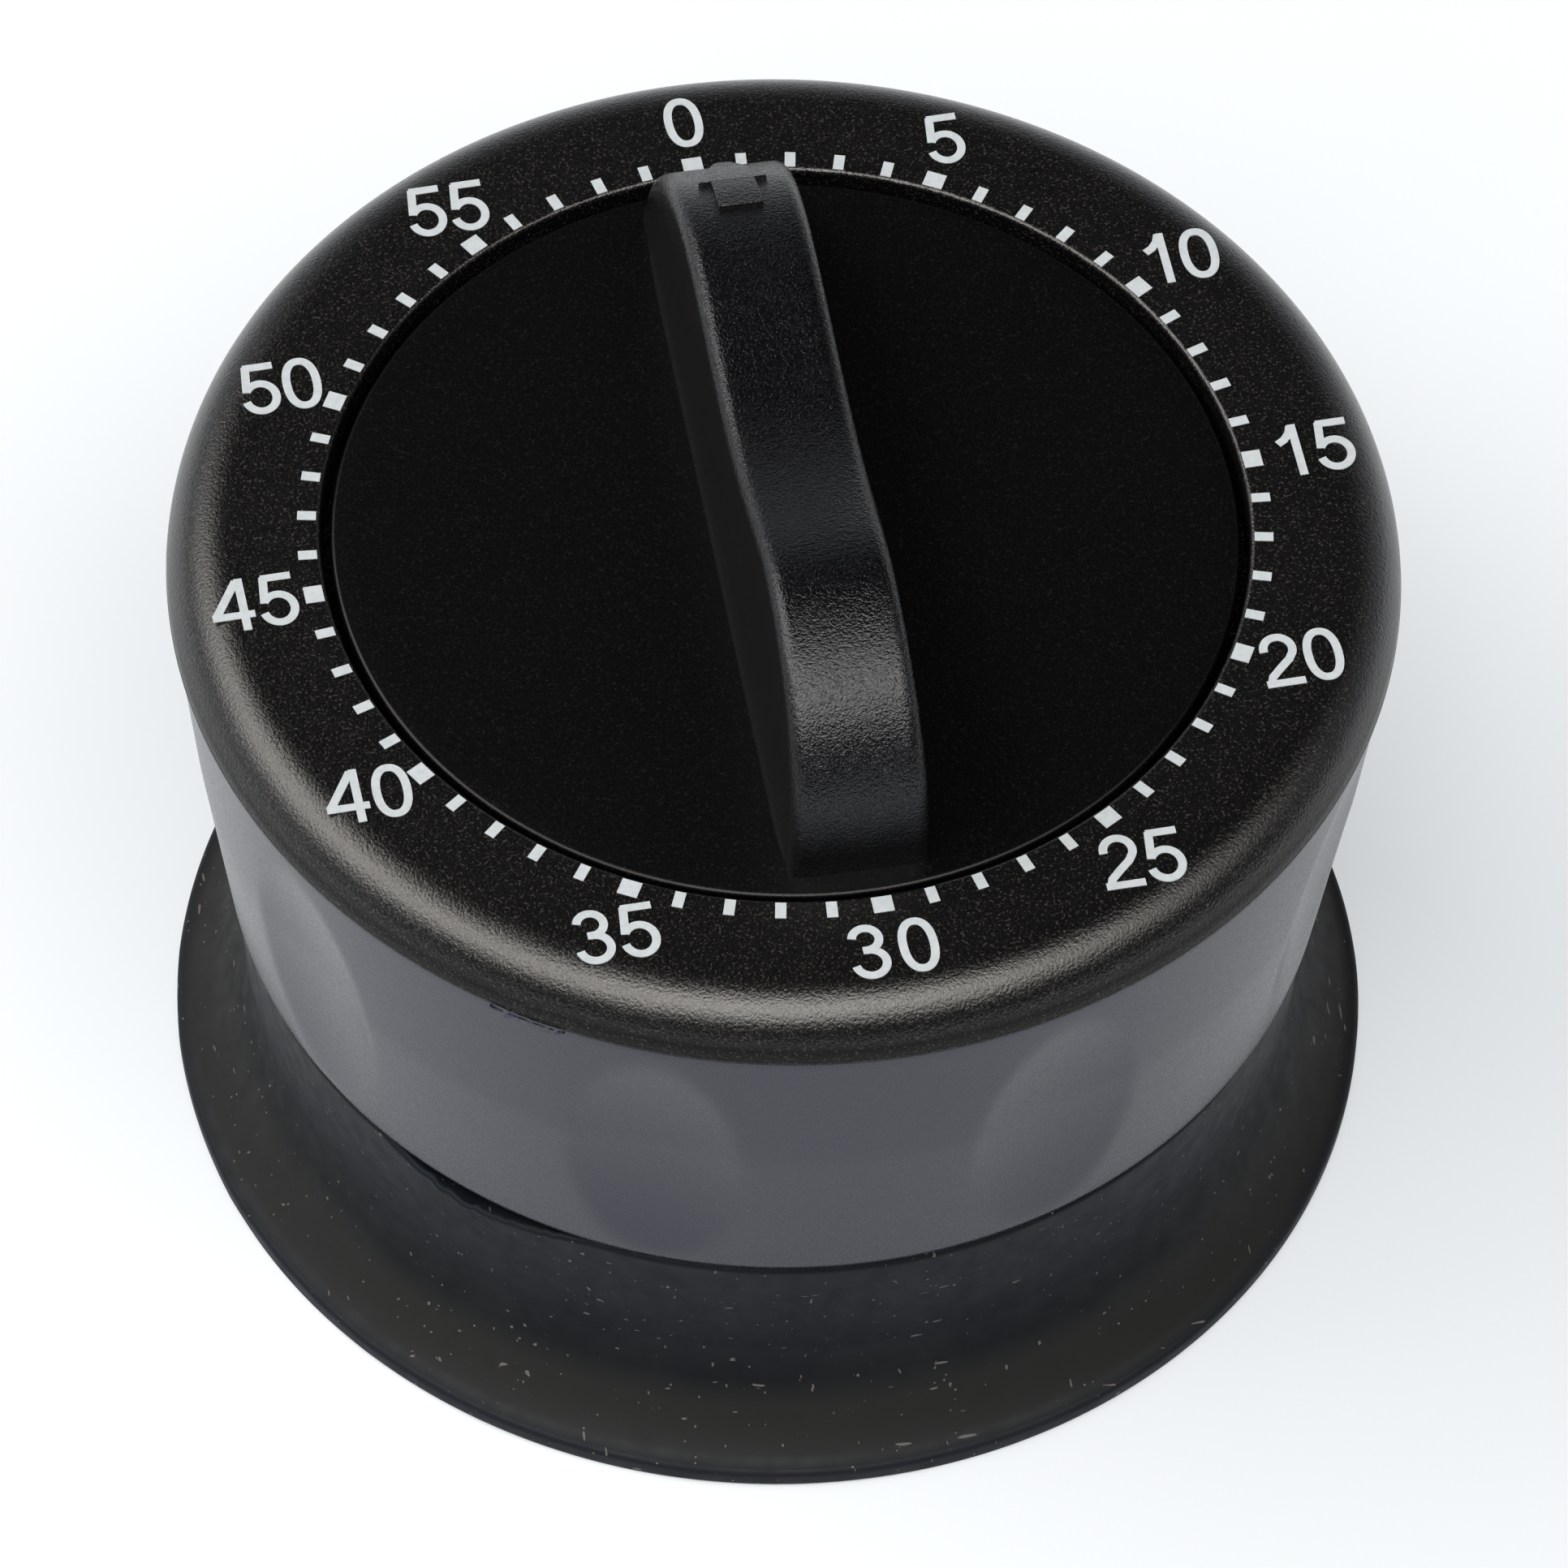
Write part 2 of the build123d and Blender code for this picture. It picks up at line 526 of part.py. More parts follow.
def mainspring():
    """Flat spiral made of half circles; its outer end is bent round a pillar of the frame."""
    inner = []
    outer = []
    radius = SPRING_INNER_R
    step = SPRING_PITCH / 2
    start = -radius
    sign = 1
    for _ in range(2 * SPRING_TURNS):
        centre = start + sign * radius
        end = centre + sign * radius
        inner.append(ThreePointArc((start, 0), (centre, sign * radius), (end, 0)))
        wide = radius + SPRING_T
        outer.append(ThreePointArc((centre - sign * wide, 0), (centre, sign * wide), (centre + sign * wide, 0)))
        start = end
        radius += step
        sign = -sign
    first = Line(inner[0] @ 0, outer[0] @ 0)
    last = Line(inner[-1] @ 1, outer[-1] @ 1)
    outline = Curve() + inner + outer + [first, last]
    return plate_from(make_face(outline.edges()), SPRING_Z, SPRING_H)


def spring_post():
    """Stud that holds the outer end of the mainspring."""
    outer = SPRING_INNER_R + SPRING_PITCH * SPRING_TURNS + SPRING_T
    return rod(SPRING_POST_R, BACK_PLATE_Z + PLATE_T, SPRING_Z + SPRING_H + POST_STAND,
               (-outer - SPRING_POST_R, 0))


# --- wheel train --------------------------------------------------------------------------
def gear_face(teeth, module, tooth, phase, bore=0.0):
    """Clockwork gear: radial flanks and half-round tooth tips. phase turns the first tooth."""
    pitch_r = module * teeth / 2
    half = tooth * module / 2 / pitch_r
    root_r = pitch_r - ROOT_DEPTH * module
    tip_r = pitch_r + tooth * module / 2
    curves = []
    for index in range(teeth):
        middle = radians(phase) + 2 * pi * index / teeth
        nxt = middle + 2 * pi / teeth
        a = (root_r * cos(middle - half), root_r * sin(middle - half))
        b = (pitch_r * cos(middle - half), pitch_r * sin(middle - half))
        c = (tip_r * cos(middle), tip_r * sin(middle))
        d = (pitch_r * cos(middle + half), pitch_r * sin(middle + half))
        e = (root_r * cos(middle + half), root_r * sin(middle + half))
        f = (root_r * cos(nxt - half), root_r * sin(nxt - half))
        curves += [Line(a, b), ThreePointArc(b, c, d), Line(d, e), Line(e, f)]
    face = make_face(Curve() + curves)
    return face - Circle(bore) if bore else face


def crossed_out(face, at_r, hole_r, count):
    """Lightening holes of a wheel."""
    for index in range(count):
        face -= Pos(*polar(at_r, 360 * index / count)) * Circle(hole_r)
    return face


def pinion(at, leaves, module, leaf_z, leaf_t, phase):
    """Arbor with its leaves and two pivots."""
    body = rod(STAFF_R, BACK_PLATE_Z + PLATE_T + STAFF_GAP, FRONT_PLATE_Z - STAFF_GAP, at)
    body += rod(PIVOT_R, BACK_PLATE_Z, FRONT_PLATE_Z + PLATE_T, at)
    return body + Pos(at[0], at[1]) * plate_from(gear_face(leaves, module, LEAF_TOOTH, phase), leaf_z, leaf_t)


def mesh_phase(direction, leaves):
    """Turn of a pinion whose gap takes a wheel tooth that stands on the line of centres."""
    return direction + 180 + 180 / leaves


def main_arbor():
    foot_z = BACK_PLATE_Z + PLATE_T + STAFF_GAP
    body = rod(ARBOR_PIVOT_R, BACK_PLATE_Z, foot_z + CUT) + rod(ARBOR_R, foot_z, ARBOR_TOP_Z)
    body -= Rot(0, 0, KNOB_TURN) * arbor_flat(0, HUB_Z - FLAT_DROP)
    return body + rod(FLANGE_R, MAIN_WHEEL_Z + GEAR_T, MAIN_WHEEL_Z + GEAR_T + FLANGE_T)


def main_wheel():
    face = gear_face(MAIN_TEETH, MOD_MAIN, WHEEL_TOOTH, SECOND_DIRECTION, ARBOR_R)
    return plate_from(crossed_out(face, *MAIN_HOLES), MAIN_WHEEL_Z, GEAR_T)


def clutch_washer():
    """Three-armed spring washer that presses the main wheel against the arbor's flange."""
    face = Circle(WASHER_R)
    for index in range(WASHER_ARMS):
        arm = Pos(WASHER_R, 0) * SlotOverall(WASHER_ARM_L, WASHER_ARM_W)
        face += Rot(0, 0, 360 / WASHER_ARMS * index) * arm
    return plate_from(face - Circle(ARBOR_R), MAIN_WHEEL_Z - WASHER_T, WASHER_T)


def arbor_clip():
    face = Circle(CLIP_R) - Circle(ARBOR_R) - Pos(CLIP_R, 0) * Rectangle(2 * CLIP_R, CLIP_SLOT)
    return plate_from(face, MAIN_WHEEL_Z - WASHER_T - CLIP_T, CLIP_T)


def trip_cam():
    """Disc with one sloping notch that lets the detent drop when the time is up."""
    points = [polar(CAM_NOTCH_R, 180 - CAM_NOTCH_FLOOR), polar(CAM_MOUTH_R, 180 - CAM_MOUTH),
              polar(CAM_MOUTH_R, 180 + CAM_MOUTH), polar(CAM_NOTCH_R, 180 + CAM_NOTCH_FLOOR)]
    notch = make_face(Polyline(*points, close=True))
    return plate_from(Circle(CAM_R) - notch - Circle(ARBOR_R), CAM_Z, LEVER_T)


def second_pinion():
    phase = mesh_phase(SECOND_DIRECTION, SECOND_LEAVES)
    return pinion(SECOND, SECOND_LEAVES, MOD_MAIN, MAIN_WHEEL_Z - LEAF_SINK, SECOND_LEAF_T, phase)


def second_wheel():
    face = gear_face(SECOND_TEETH, MOD_SECOND, WHEEL_TOOTH, THIRD_DIRECTION, STAFF_R)
    return Pos(*SECOND) * plate_from(crossed_out(face, *SECOND_HOLES), SECOND_WHEEL_Z, GEAR_T)


def strike_star():
    direction, _ = tail_frame()
    gap_middle = STAR_GAP * 360 / STAR_TEETH
    face = ratchet_face(STAR_TEETH, STAR_R, STAR_DEPTH, direction + 90 - gap_middle) - Circle(STAFF_R)
    return Pos(*SECOND) * plate_from(face, STAR_Z, LEVER_T)


def third_pinion():
    phase = mesh_phase(THIRD_DIRECTION, THIRD_LEAVES)
    return pinion(THIRD, THIRD_LEAVES, MOD_SECOND, SECOND_WHEEL_Z - LEAF_SINK, THIRD_LEAF_T, phase)


def third_wheel():
    face = gear_face(THIRD_TEETH, MOD_THIRD, WHEEL_TOOTH, ESCAPE_DIRECTION, STAFF_R)
    return Pos(*THIRD) * plate_from(crossed_out(face, *THIRD_HOLES), THIRD_WHEEL_Z, GEAR_T)


def escape_pinion():
    phase = mesh_phase(ESCAPE_DIRECTION, ESCAPE_LEAVES)
    return pinion(ESCAPE, ESCAPE_LEAVES, MOD_THIRD, THIRD_WHEEL_Z - LEAF_SINK, ESCAPE_LEAF_T, phase)


def ratchet_face(teeth, tip_r, depth, phase):
    """Saw-toothed wheel: one steep and one long flank on every tooth."""
    root_r = tip_r - depth
    pitch = 360 / teeth
    points = []
    for index in range(teeth):
        angle = phase + index * pitch
        points += [polar(root_r, angle - TOOTH_ROOT * pitch), polar(root_r, angle - TOOTH_HEEL * pitch),
                   polar(tip_r, angle), polar(tip_r, angle + TOOTH_LAND * pitch)]
    return make_face(Polyline(*points, close=True))


def escape_wheel():
    pitch = 360 / ESCAPE_TEETH
    phase = ANCHOR_DIRECTION + pitch * ESCAPE_PHASE
    face = ratchet_face(ESCAPE_TEETH, ESCAPE_R, ESCAPE_DEPTH, phase)
    face = crossed_out(face - Circle(STAFF_R), *ESCAPE_HOLES)
    return Pos(*ESCAPE) * plate_from(face, ESCAPE_WHEEL_Z, ESCAPE_T)


# --- escapement ---------------------------------------------------------------------------
def pallet_points():
    half = 360 / ESCAPE_TEETH * PALLET_SPAN / 2
    reach = ESCAPE_R + PALLET_R + PALLET_GAP
    return [step_from(ESCAPE, reach, ANCHOR_DIRECTION + side * half) for side in (-1, 1)]


def pallet_anchor():
    face = Pos(*ANCHOR) * Circle(ANCHOR_BOSS_R)
    for point in pallet_points():
        face += link(ANCHOR, point, ANCHOR_ARM_W)
    face -= Pos(*ANCHOR) * Circle(STAFF_R)
    for point in pallet_points():
        face -= Pos(*point) * Circle(PALLET_R)
    return plate_from(face, ANCHOR_Z, ANCHOR_T)


def pallet_pins():
    return Compound([rod(PALLET_R, ESCAPE_WHEEL_Z - PIN_STAND, ANCHOR_Z + ANCHOR_T, point)
                     for point in pallet_points()])


def anchor_arbor():
    body = rod(STAFF_R, BACK_PLATE_Z + PLATE_T + STAFF_GAP, FRONT_PLATE_Z - STAFF_GAP, ANCHOR)
    return body + rod(PIVOT_R, BACK_PLATE_Z, FRONT_PLATE_Z + PLATE_T, ANCHOR)


def inertia_wheel():
    face = Circle(INERTIA_R) - Circle(INERTIA_R - INERTIA_RIM)
    face += Rectangle(2 * INERTIA_R - INERTIA_RIM, INERTIA_SPOKE) + Circle(INERTIA_HUB_R)
    return Pos(*ANCHOR) * plate_from(face - Circle(STAFF_R), INERTIA_Z, INERTIA_T)


# --- bell and strike ----------------------------------------------------------------------
def bell():
    """Thin steel cup with its mouth up, under the movement."""
    crown = BELL_CROWN_Z
    shoulder_z = crown + BELL_BEND_R
    flat_r = BELL_R - BELL_BEND_R
    inner_r = BELL_R - BELL_T
    sag = BELL_BEND_R * (1 - sin(pi / 4))
    inner_sag = sag + BELL_T * sin(pi / 4)
    bend = ThreePointArc((flat_r, crown), (BELL_R - sag, crown + sag), (BELL_R, shoulder_z))
    inner = ThreePointArc((inner_r, shoulder_z), (BELL_R - inner_sag, crown + inner_sag),
                          (flat_r, crown + BELL_T))
    rim = Polyline((BELL_R, shoulder_z), (BELL_R, BELL_RIM_Z), (inner_r, BELL_RIM_Z), (inner_r, shoulder_z))
    floor = Polyline((flat_r, crown + BELL_T), (BELL_SCREW_R, crown + BELL_T),
                     (BELL_SCREW_R, crown), (flat_r, crown))
    return revolve(make_face(Plane.XZ * (bend + rim + inner + floor)), Axis.Z)


def bell_post():
    body = rod(BELL_POST_R, BELL_CROWN_Z + BELL_T, BACK_PLATE_Z)
    return body - rod(BELL_SCREW_R, BELL_CROWN_Z + BELL_T, BACK_PLATE_Z - BELL_POST_CROWN)


def bell_screw():
    head_z = BELL_CROWN_Z - BELL_SCREW_HEAD_T
    head = rod(BELL_SCREW_HEAD_R, head_z, BELL_CROWN_Z)
    head -= Pos(0, 0, head_z) * Box(3 * BELL_SCREW_HEAD_R, BELL_SLOT_W, 2 * BELL_SLOT_DEEP)
    return head + rod(BELL_SCREW_R, BELL_CROWN_Z, BELL_CROWN_Z + BELL_SCREW_L)


def tail_frame():
    """Direction and length of the tail, whose tip meets the star square to its radius."""
    dx = SECOND[0] - HAMMER[0]
    dy = SECOND[1] - HAMMER[1]
    span = sqrt(dx * dx + dy * dy)
    length = sqrt(span ** 2 - (STAR_R + TAIL_GAP) ** 2)
    direction = degrees(atan(dy / dx)) + degrees(atan((STAR_R + TAIL_GAP) / length))
    return direction, length


def hammer_arbor():
    body = rod(STAFF_R, HAMMER_Z - CUT, FRONT_PLATE_Z - STAFF_GAP, HAMMER)
    return body + rod(PIVOT_R, HAMMER_Z, FRONT_PLATE_Z + PLATE_T, HAMMER)


def hammer_arm():
    face = Pos(*HAMMER) * Circle(HAMMER_BOSS_R) + link(HAMMER, HAMMER_HEAD, HAMMER_ARM_W)
    face -= Pos(*HAMMER) * Circle(STAFF_R)
    return plate_from(face - Pos(*HAMMER_HEAD) * Circle(RIVET_R), HAMMER_Z, HAMMER_ARM_T)


def hammer_head():
    head = rod(HAMMER_HEAD_R, HAMMER_Z - HAMMER_HEAD_H, HAMMER_Z, HAMMER_HEAD)
    return head + rod(RIVET_R, HAMMER_Z, HAMMER_Z + HAMMER_ARM_T, HAMMER_HEAD)


def hammer_tail():
    """Lever that the strike star lifts, with a heel for the detent to hold."""
    direction, length = tail_frame()
    near = HEEL_AT - HEEL_HALF
    far = HEEL_AT + HEEL_HALF
    neck = length - 2 * TAIL_TIP_W
    bar = Polyline((0, -TAIL_ROOT), (near, -TAIL_WAIST), (near, -HEEL_DROP), (far, -HEEL_DROP),
                   (far, TAIL_WAIST), (neck, TAIL_ROOT), (length - TAIL_TIP_W, 0), (length + TAIL_TIP_W, 0),
                   (length + 2 * TAIL_TIP_W, TAIL_BACK), (0, TAIL_TOP), close=True)
    face = make_face(bar) + Circle(HAMMER_BOSS_R) - Circle(STAFF_R)
    return Pos(*HAMMER) * Rot(0, 0, direction) * plate_from(face, LEVER_Z, LEVER_T)


def detent_lever():
    """Rocker with a nose on the cam's rim and a finger under the heel of the hammer's tail."""
    direction, _ = tail_frame()
    below = HEEL_DROP + FINGER_GAP + FINGER_R
    along = step_from(HAMMER, HEEL_AT, direction)
    finger = step_from(along, below, direction - 90)
    nose = (-(CAM_R + NOSE_R + NOSE_GAP), 0)
    face = Pos(*DETENT) * Circle(DETENT_BOSS_R)
    face += link(DETENT, nose, 2 * NOSE_R) + link(DETENT, finger, 2 * FINGER_R)
    return plate_from(face - Pos(*DETENT) * Circle(PIVOT_R + RUN), LEVER_Z, LEVER_T)


def hammer_spring():
    """Coil of spring wire round the hammer's arbor."""
    coil_r = STAFF_R + COIL_GAP + COIL_WIRE_R
    path = Helix(pitch=COIL_PITCH, height=COIL_HEIGHT, radius=coil_r)
    section = Plane(origin=path @ 0, z_dir=path % 0) * Circle(COIL_WIRE_R)
    return Pos(HAMMER[0], HAMMER[1], COIL_Z) * sweep(section, path=path)


def detent_spring():
    """Thin strip that presses the detent on the cam, on a foot riveted under the front plate."""
    strip = link(STRIP_ROOT, STRIP_TIP, SPRING_T)
    foot = Pos(*STRIP_ROOT) * Rectangle(STRIP_FOOT, STRIP_FOOT)
    return plate_from(strip, LEVER_Z, LEVER_T) + plate_from(foot, LEVER_Z, FRONT_PLATE_Z - LEVER_Z)


NODES = {
    "dial_cap": dial_cap, "lower_case": lower_case, "suction_foot": suction_foot, "knob": knob,
    "case_screws": case_screws, "movement_screws": movement_screws, "front_plate": front_plate,
    "back_plate": back_plate, "plate_pillars": plate_pillars, "pillar_nuts": pillar_nuts,
    "arbor_bush": arbor_bush, "detent_stud": detent_stud, "mainspring": mainspring, "spring_post": spring_post,
    "main_arbor": main_arbor, "main_wheel": main_wheel, "clutch_washer": clutch_washer,
    "arbor_clip": arbor_clip, "trip_cam": trip_cam,
    "second_pinion": second_pinion, "second_wheel": second_wheel, "strike_star": strike_star,
    "third_pinion": third_pinion, "third_wheel": third_wheel, "escape_pinion": escape_pinion,
    "escape_wheel": escape_wheel, "pallet_anchor": pallet_anchor, "pallet_pins": pallet_pins,
    "anchor_arbor": anchor_arbor, "inertia_wheel": inertia_wheel, "bell": bell, "bell_post": bell_post,
    "bell_screw": bell_screw, "hammer_arbor": hammer_arbor, "hammer_arm": hammer_arm,
    "hammer_head": hammer_head,
    "hammer_tail": hammer_tail, "detent_lever": detent_lever, "hammer_spring": hammer_spring,
    "detent_spring": detent_spring,
}

os.makedirs("parts", exist_ok=True)
for name, build in NODES.items():
    save(name, build())
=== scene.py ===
import json
from math import atan2, cos, hypot, pi, radians, sin, tan

import bmesh
import bpy
import numpy as np
from mathutils import Matrix, Vector, noise


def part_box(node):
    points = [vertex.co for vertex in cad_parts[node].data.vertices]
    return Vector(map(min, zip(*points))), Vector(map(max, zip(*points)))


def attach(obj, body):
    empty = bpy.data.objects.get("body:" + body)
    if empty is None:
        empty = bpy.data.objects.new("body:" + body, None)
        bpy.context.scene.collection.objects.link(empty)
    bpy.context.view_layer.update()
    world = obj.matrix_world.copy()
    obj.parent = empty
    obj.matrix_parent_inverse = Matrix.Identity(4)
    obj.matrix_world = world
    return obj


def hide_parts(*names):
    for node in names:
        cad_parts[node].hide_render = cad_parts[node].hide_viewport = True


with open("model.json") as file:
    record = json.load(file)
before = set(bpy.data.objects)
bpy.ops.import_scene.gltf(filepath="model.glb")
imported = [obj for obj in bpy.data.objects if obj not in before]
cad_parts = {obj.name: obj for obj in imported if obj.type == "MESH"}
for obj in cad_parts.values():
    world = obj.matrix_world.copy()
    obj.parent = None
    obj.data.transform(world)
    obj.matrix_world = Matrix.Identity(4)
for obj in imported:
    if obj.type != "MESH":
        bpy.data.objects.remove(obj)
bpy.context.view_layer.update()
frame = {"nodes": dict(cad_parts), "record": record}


def mm(value):
    return value / 1000


CAP_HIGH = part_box("dial_cap")[1]
CASE_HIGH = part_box("lower_case")[1]
FOOT_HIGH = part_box("suction_foot")[1]
KNOB_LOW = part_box("knob")[0]

CAP_R = CAP_HIGH.x
FACE_Z = CAP_HIGH.z
SEAM_Z = CASE_HIGH.z
KNOB_R = mm(27.5)
DISC_Z = mm(47.6)
DISC_T = mm(2.0)
KNOB_TURN = -1.4
RING_INNER_R = mm(28.1)
CAP_EDGE = mm(3.7)
COLLAR_TOP_Z = FOOT_HIGH.z
FOOT_R = FOOT_HIGH.x

DIMPLES = 9
DIMPLE_FIRST = 246.4
DIMPLE_Z = mm(30.6)
DIMPLE_DEPTH = mm(0.72)

CAMERA_AZIMUTH = 13.17     # the camera looks along +Y turned this far towards +X
CAMERA_ELEVATION = 52.8
CAMERA_DISTANCE = 0.7464
CAMERA_ROLL = 2.17
CAMERA_AIM = Vector((-0.0017, -0.00945, 0.035))
CAMERA_LENS = 281.9
SENSOR_W = 36
CLIP = (0.05, 10)


# --- meshes -------------------------------------------------------------------------------
def add_mesh(name, verts, faces, material, sharp=35):
    mesh = bpy.data.meshes.new(name)
    mesh.from_pydata([tuple(v) for v in verts], [], faces)
    shell = bmesh.new()
    shell.from_mesh(mesh)
    bmesh.ops.recalc_face_normals(shell, faces=shell.faces)
    shell.to_mesh(mesh)
    shell.free()
    mesh.shade_smooth()
    mesh.set_sharp_from_angle(angle=radians(sharp))
    mesh.materials.append(material)
    piece = bpy.data.objects.new(name, mesh)
    bpy.context.scene.collection.objects.link(piece)
    return piece


def place(piece, body, slot, *nodes):
    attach(piece, body)
    if nodes:
        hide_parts(*nodes)
    return piece


def rounded(corners, steps=8):
    """Closed (radius, height) outline with each corner rounded by its own radius, all in mm."""
    points = []
    count = len(corners)
    for index, (r, z, fillet) in enumerate(corners):
        here = Vector((r, z))
        if fillet == 0:
            points.append(here)
            continue
        before = (Vector(corners[index - 1][:2]) - here).normalized()
        after = (Vector(corners[(index + 1) % count][:2]) - here).normalized()
        half = before.angle(after) / 2
        reach = fillet / tan(half)
        centre = here + (before + after).normalized() * (fillet / sin(half))
        start = here + before * reach - centre
        end = here + after * reach - centre
        sweep = start.angle_signed(end)
        for step in range(steps + 1):
            points.append(centre + Matrix.Rotation(-sweep * step / steps, 2) @ start)
    return [(mm(p.x), mm(p.y)) for p in points]


def subdivided(outline, longest):
    """The same closed outline with no step longer than longest."""
    points = []
    for index, (r, z) in enumerate(outline):
        r1, z1 = outline[(index + 1) % len(outline)]
        pieces = max(1, int(hypot(r1 - r, z1 - z) / longest + 0.999))
        points += [(r + (r1 - r) * k / pieces, z + (z1 - z) * k / pieces) for k in range(pieces)]
    return points


def lathe(name, outline, material, steps=360, shape=None, sharp=35):
    """Closed body of revolution. shape may move a point, given its radius, height and turn."""
    verts = []
    rings = []
    for r, z in outline:
        if r < 1e-9:
            rings.append([len(verts)])
            verts.append((0, 0, z))
            continue
        rings.append(list(range(len(verts), len(verts) + steps)))
        for k in range(steps):
            turn = 2 * pi * k / steps
            rr, zz = shape(r, z, turn) if shape else (r, z)
            verts.append((rr * cos(turn), rr * sin(turn), zz))
    faces = []
    for a, b in zip(rings, rings[1:] + rings[:1]):
        for k in range(steps):
            n = (k + 1) % steps
            if len(a) == 1 and len(b) == 1:
                break
            if len(a) == 1:
                faces.append((a[0], b[n], b[k]))
            elif len(b) == 1:
                faces.append((a[k], a[n], b[0]))
            else:
                faces.append((a[k], a[n], b[n], b[k]))
    return add_mesh(name, verts, faces, material, sharp)


def smooth_curve(points, samples):
    """Natural cubic spline through points, evenly sampled along the chord lengths."""
    data = np.array(points, float)
    knots = np.r_[0, np.cumsum(np.hypot(*np.diff(data, axis=0).T))]
    gap = np.diff(knots)
    size = len(data)
    system = np.eye(size)
    right = np.zeros((size, 2))
    for k in range(1, size - 1):
        system[k, k - 1:k + 2] = gap[k - 1], 2 * (gap[k - 1] + gap[k]), gap[k]
        right[k] = 6 * ((data[k + 1] - data[k]) / gap[k] - (data[k] - data[k - 1]) / gap[k - 1])
    bend = np.linalg.solve(system, right)
    curve = []
    for t in np.linspace(0, knots[-1], samples):
        k = min(max(int(np.searchsorted(knots, t)) - 1, 0), size - 2)
        a, b, h = knots[k + 1] - t, t - knots[k], gap[k]
        curve.append((bend[k] * a ** 3 + bend[k + 1] * b ** 3) / (6 * h)
                     + (data[k] / h - bend[k] * h / 6) * a + (data[k + 1] / h - bend[k + 1] * h / 6) * b)
    return np.array(curve)


# --- materials ----------------------------------------------------------------------------
class Paint:
    """A Principled material with helpers for the procedural nodes that feed it."""

    def __init__(self, name):
        self.material = bpy.data.materials.new(name)
        self.material.use_nodes = True
        self.tree = self.material.node_tree
        self.shader = self.tree.nodes["Principled BSDF"]
        coordinates = self.tree.nodes.new("ShaderNodeTexCoord")
        self.place = coordinates.outputs["Object"]

    def node(self, kind, inputs=None, **settings):
        made = self.tree.nodes.new(kind)
        for key, value in settings.items():
            setattr(made, key, value)
        for key, value in (inputs or {}).items():
            if isinstance(value, bpy.types.NodeSocket):
                self.tree.links.new(value, made.inputs[key])
            else:
                made.inputs[key].default_value = value
        return made

    def noise(self, size, detail=2.0, roughness=0.5, stretch=None):
        vector = self.place
        if stretch:
            vector = self.node("ShaderNodeMapping", {"Vector": self.place, "Scale": stretch}).outputs[0]
        return self.node("ShaderNodeTexNoise", {"Vector": vector, "Scale": 1 / size, "Detail": detail,
                                                "Roughness": roughness}).outputs["Fac"]

    def cells(self, size):
        inputs = {"Vector": self.place, "Scale": 1 / size}
        return self.node("ShaderNodeTexVoronoi", inputs, feature="F1").outputs["Distance"]

    def height(self):
        return self.node("ShaderNodeSeparateXYZ", {0: self.place}).outputs["Z"]

    def ramp(self, value, low, high, out_low=0.0, out_high=1.0):
        return self.node("ShaderNodeMapRange", {"Value": value, "From Min": low, "From Max": high,
                                                "To Min": out_low, "To Max": out_high}).outputs["Result"]

    def mix(self, factor, first, second):
        made = self.node("ShaderNodeMix", data_type="RGBA")
        for socket, value in ((made.inputs[0], factor), (made.inputs[6], first), (made.inputs[7], second)):
            if isinstance(value, bpy.types.NodeSocket):
                self.tree.links.new(value, socket)
            else:
                socket.default_value = value if isinstance(value, float) else (*value, 1)
        return made.outputs[2]

    def add(self, first, second):
        return self.node("ShaderNodeMath", {0: first, 1: second}, operation="ADD").outputs[0]

    def times(self, first, second):
        return self.node("ShaderNodeMath", {0: first, 1: second}, operation="MULTIPLY").outputs[0]

    def set(self, **values):
        for key, value in values.items():
            socket = self.shader.inputs[key.replace("_", " ")]
            if isinstance(value, bpy.types.NodeSocket):
                self.tree.links.new(value, socket)
            elif isinstance(value, tuple):
                socket.default_value = (*value, 1)
            else:
                socket.default_value = value

    def bump(self, height, strength, distance):
        made = self.node("ShaderNodeBump", {"Height": height, "Strength": strength, "Distance": distance})
        self.tree.links.new(made.outputs[0], self.shader.inputs["Normal"])


def moulded(name, colour, painted_glint_colour, roughness, grain, strength, depth, specular=0.5, many=0.62,
            tint=(1.0, 1.0, 1.0), painted_shade_band=None):
    """Black moulded plastic: a spark-eroded grain, faint blotches, and painted glints: a few light specks in
    the base colour that stand in for the grain's sparkle.

    The last argument (low, high, dull) in mm paints shade: the plastic reflects less below that height, so
    the lower part stays dark.
    """
    paint = Paint(name)
    fine = paint.noise(grain, 3.0, 0.6)
    blotch = paint.noise(mm(9), 2.0)
    # Painted glints: light specks mixed into the base colour where the grain would sparkle.
    painted_glint = paint.ramp(paint.noise(grain * 0.9, 1.0), many, many + 0.08)
    base = paint.mix(paint.ramp(blotch, 0.35, 0.7), colour, tuple(c * 1.25 for c in colour))
    paint.set(Base_Color=paint.mix(painted_glint, base, painted_glint_colour), Specular_IOR_Level=specular, Specular_Tint=tint)
    if painted_shade_band:
        low, high, dull = painted_shade_band
        paint.set(Specular_IOR_Level=paint.ramp(paint.height(), mm(low), mm(high), dull, specular))
    paint.set(Roughness=paint.ramp(fine, 0.3, 0.7, roughness - 0.05, roughness + 0.05))
    paint.bump(fine, strength, depth)
    return paint.material


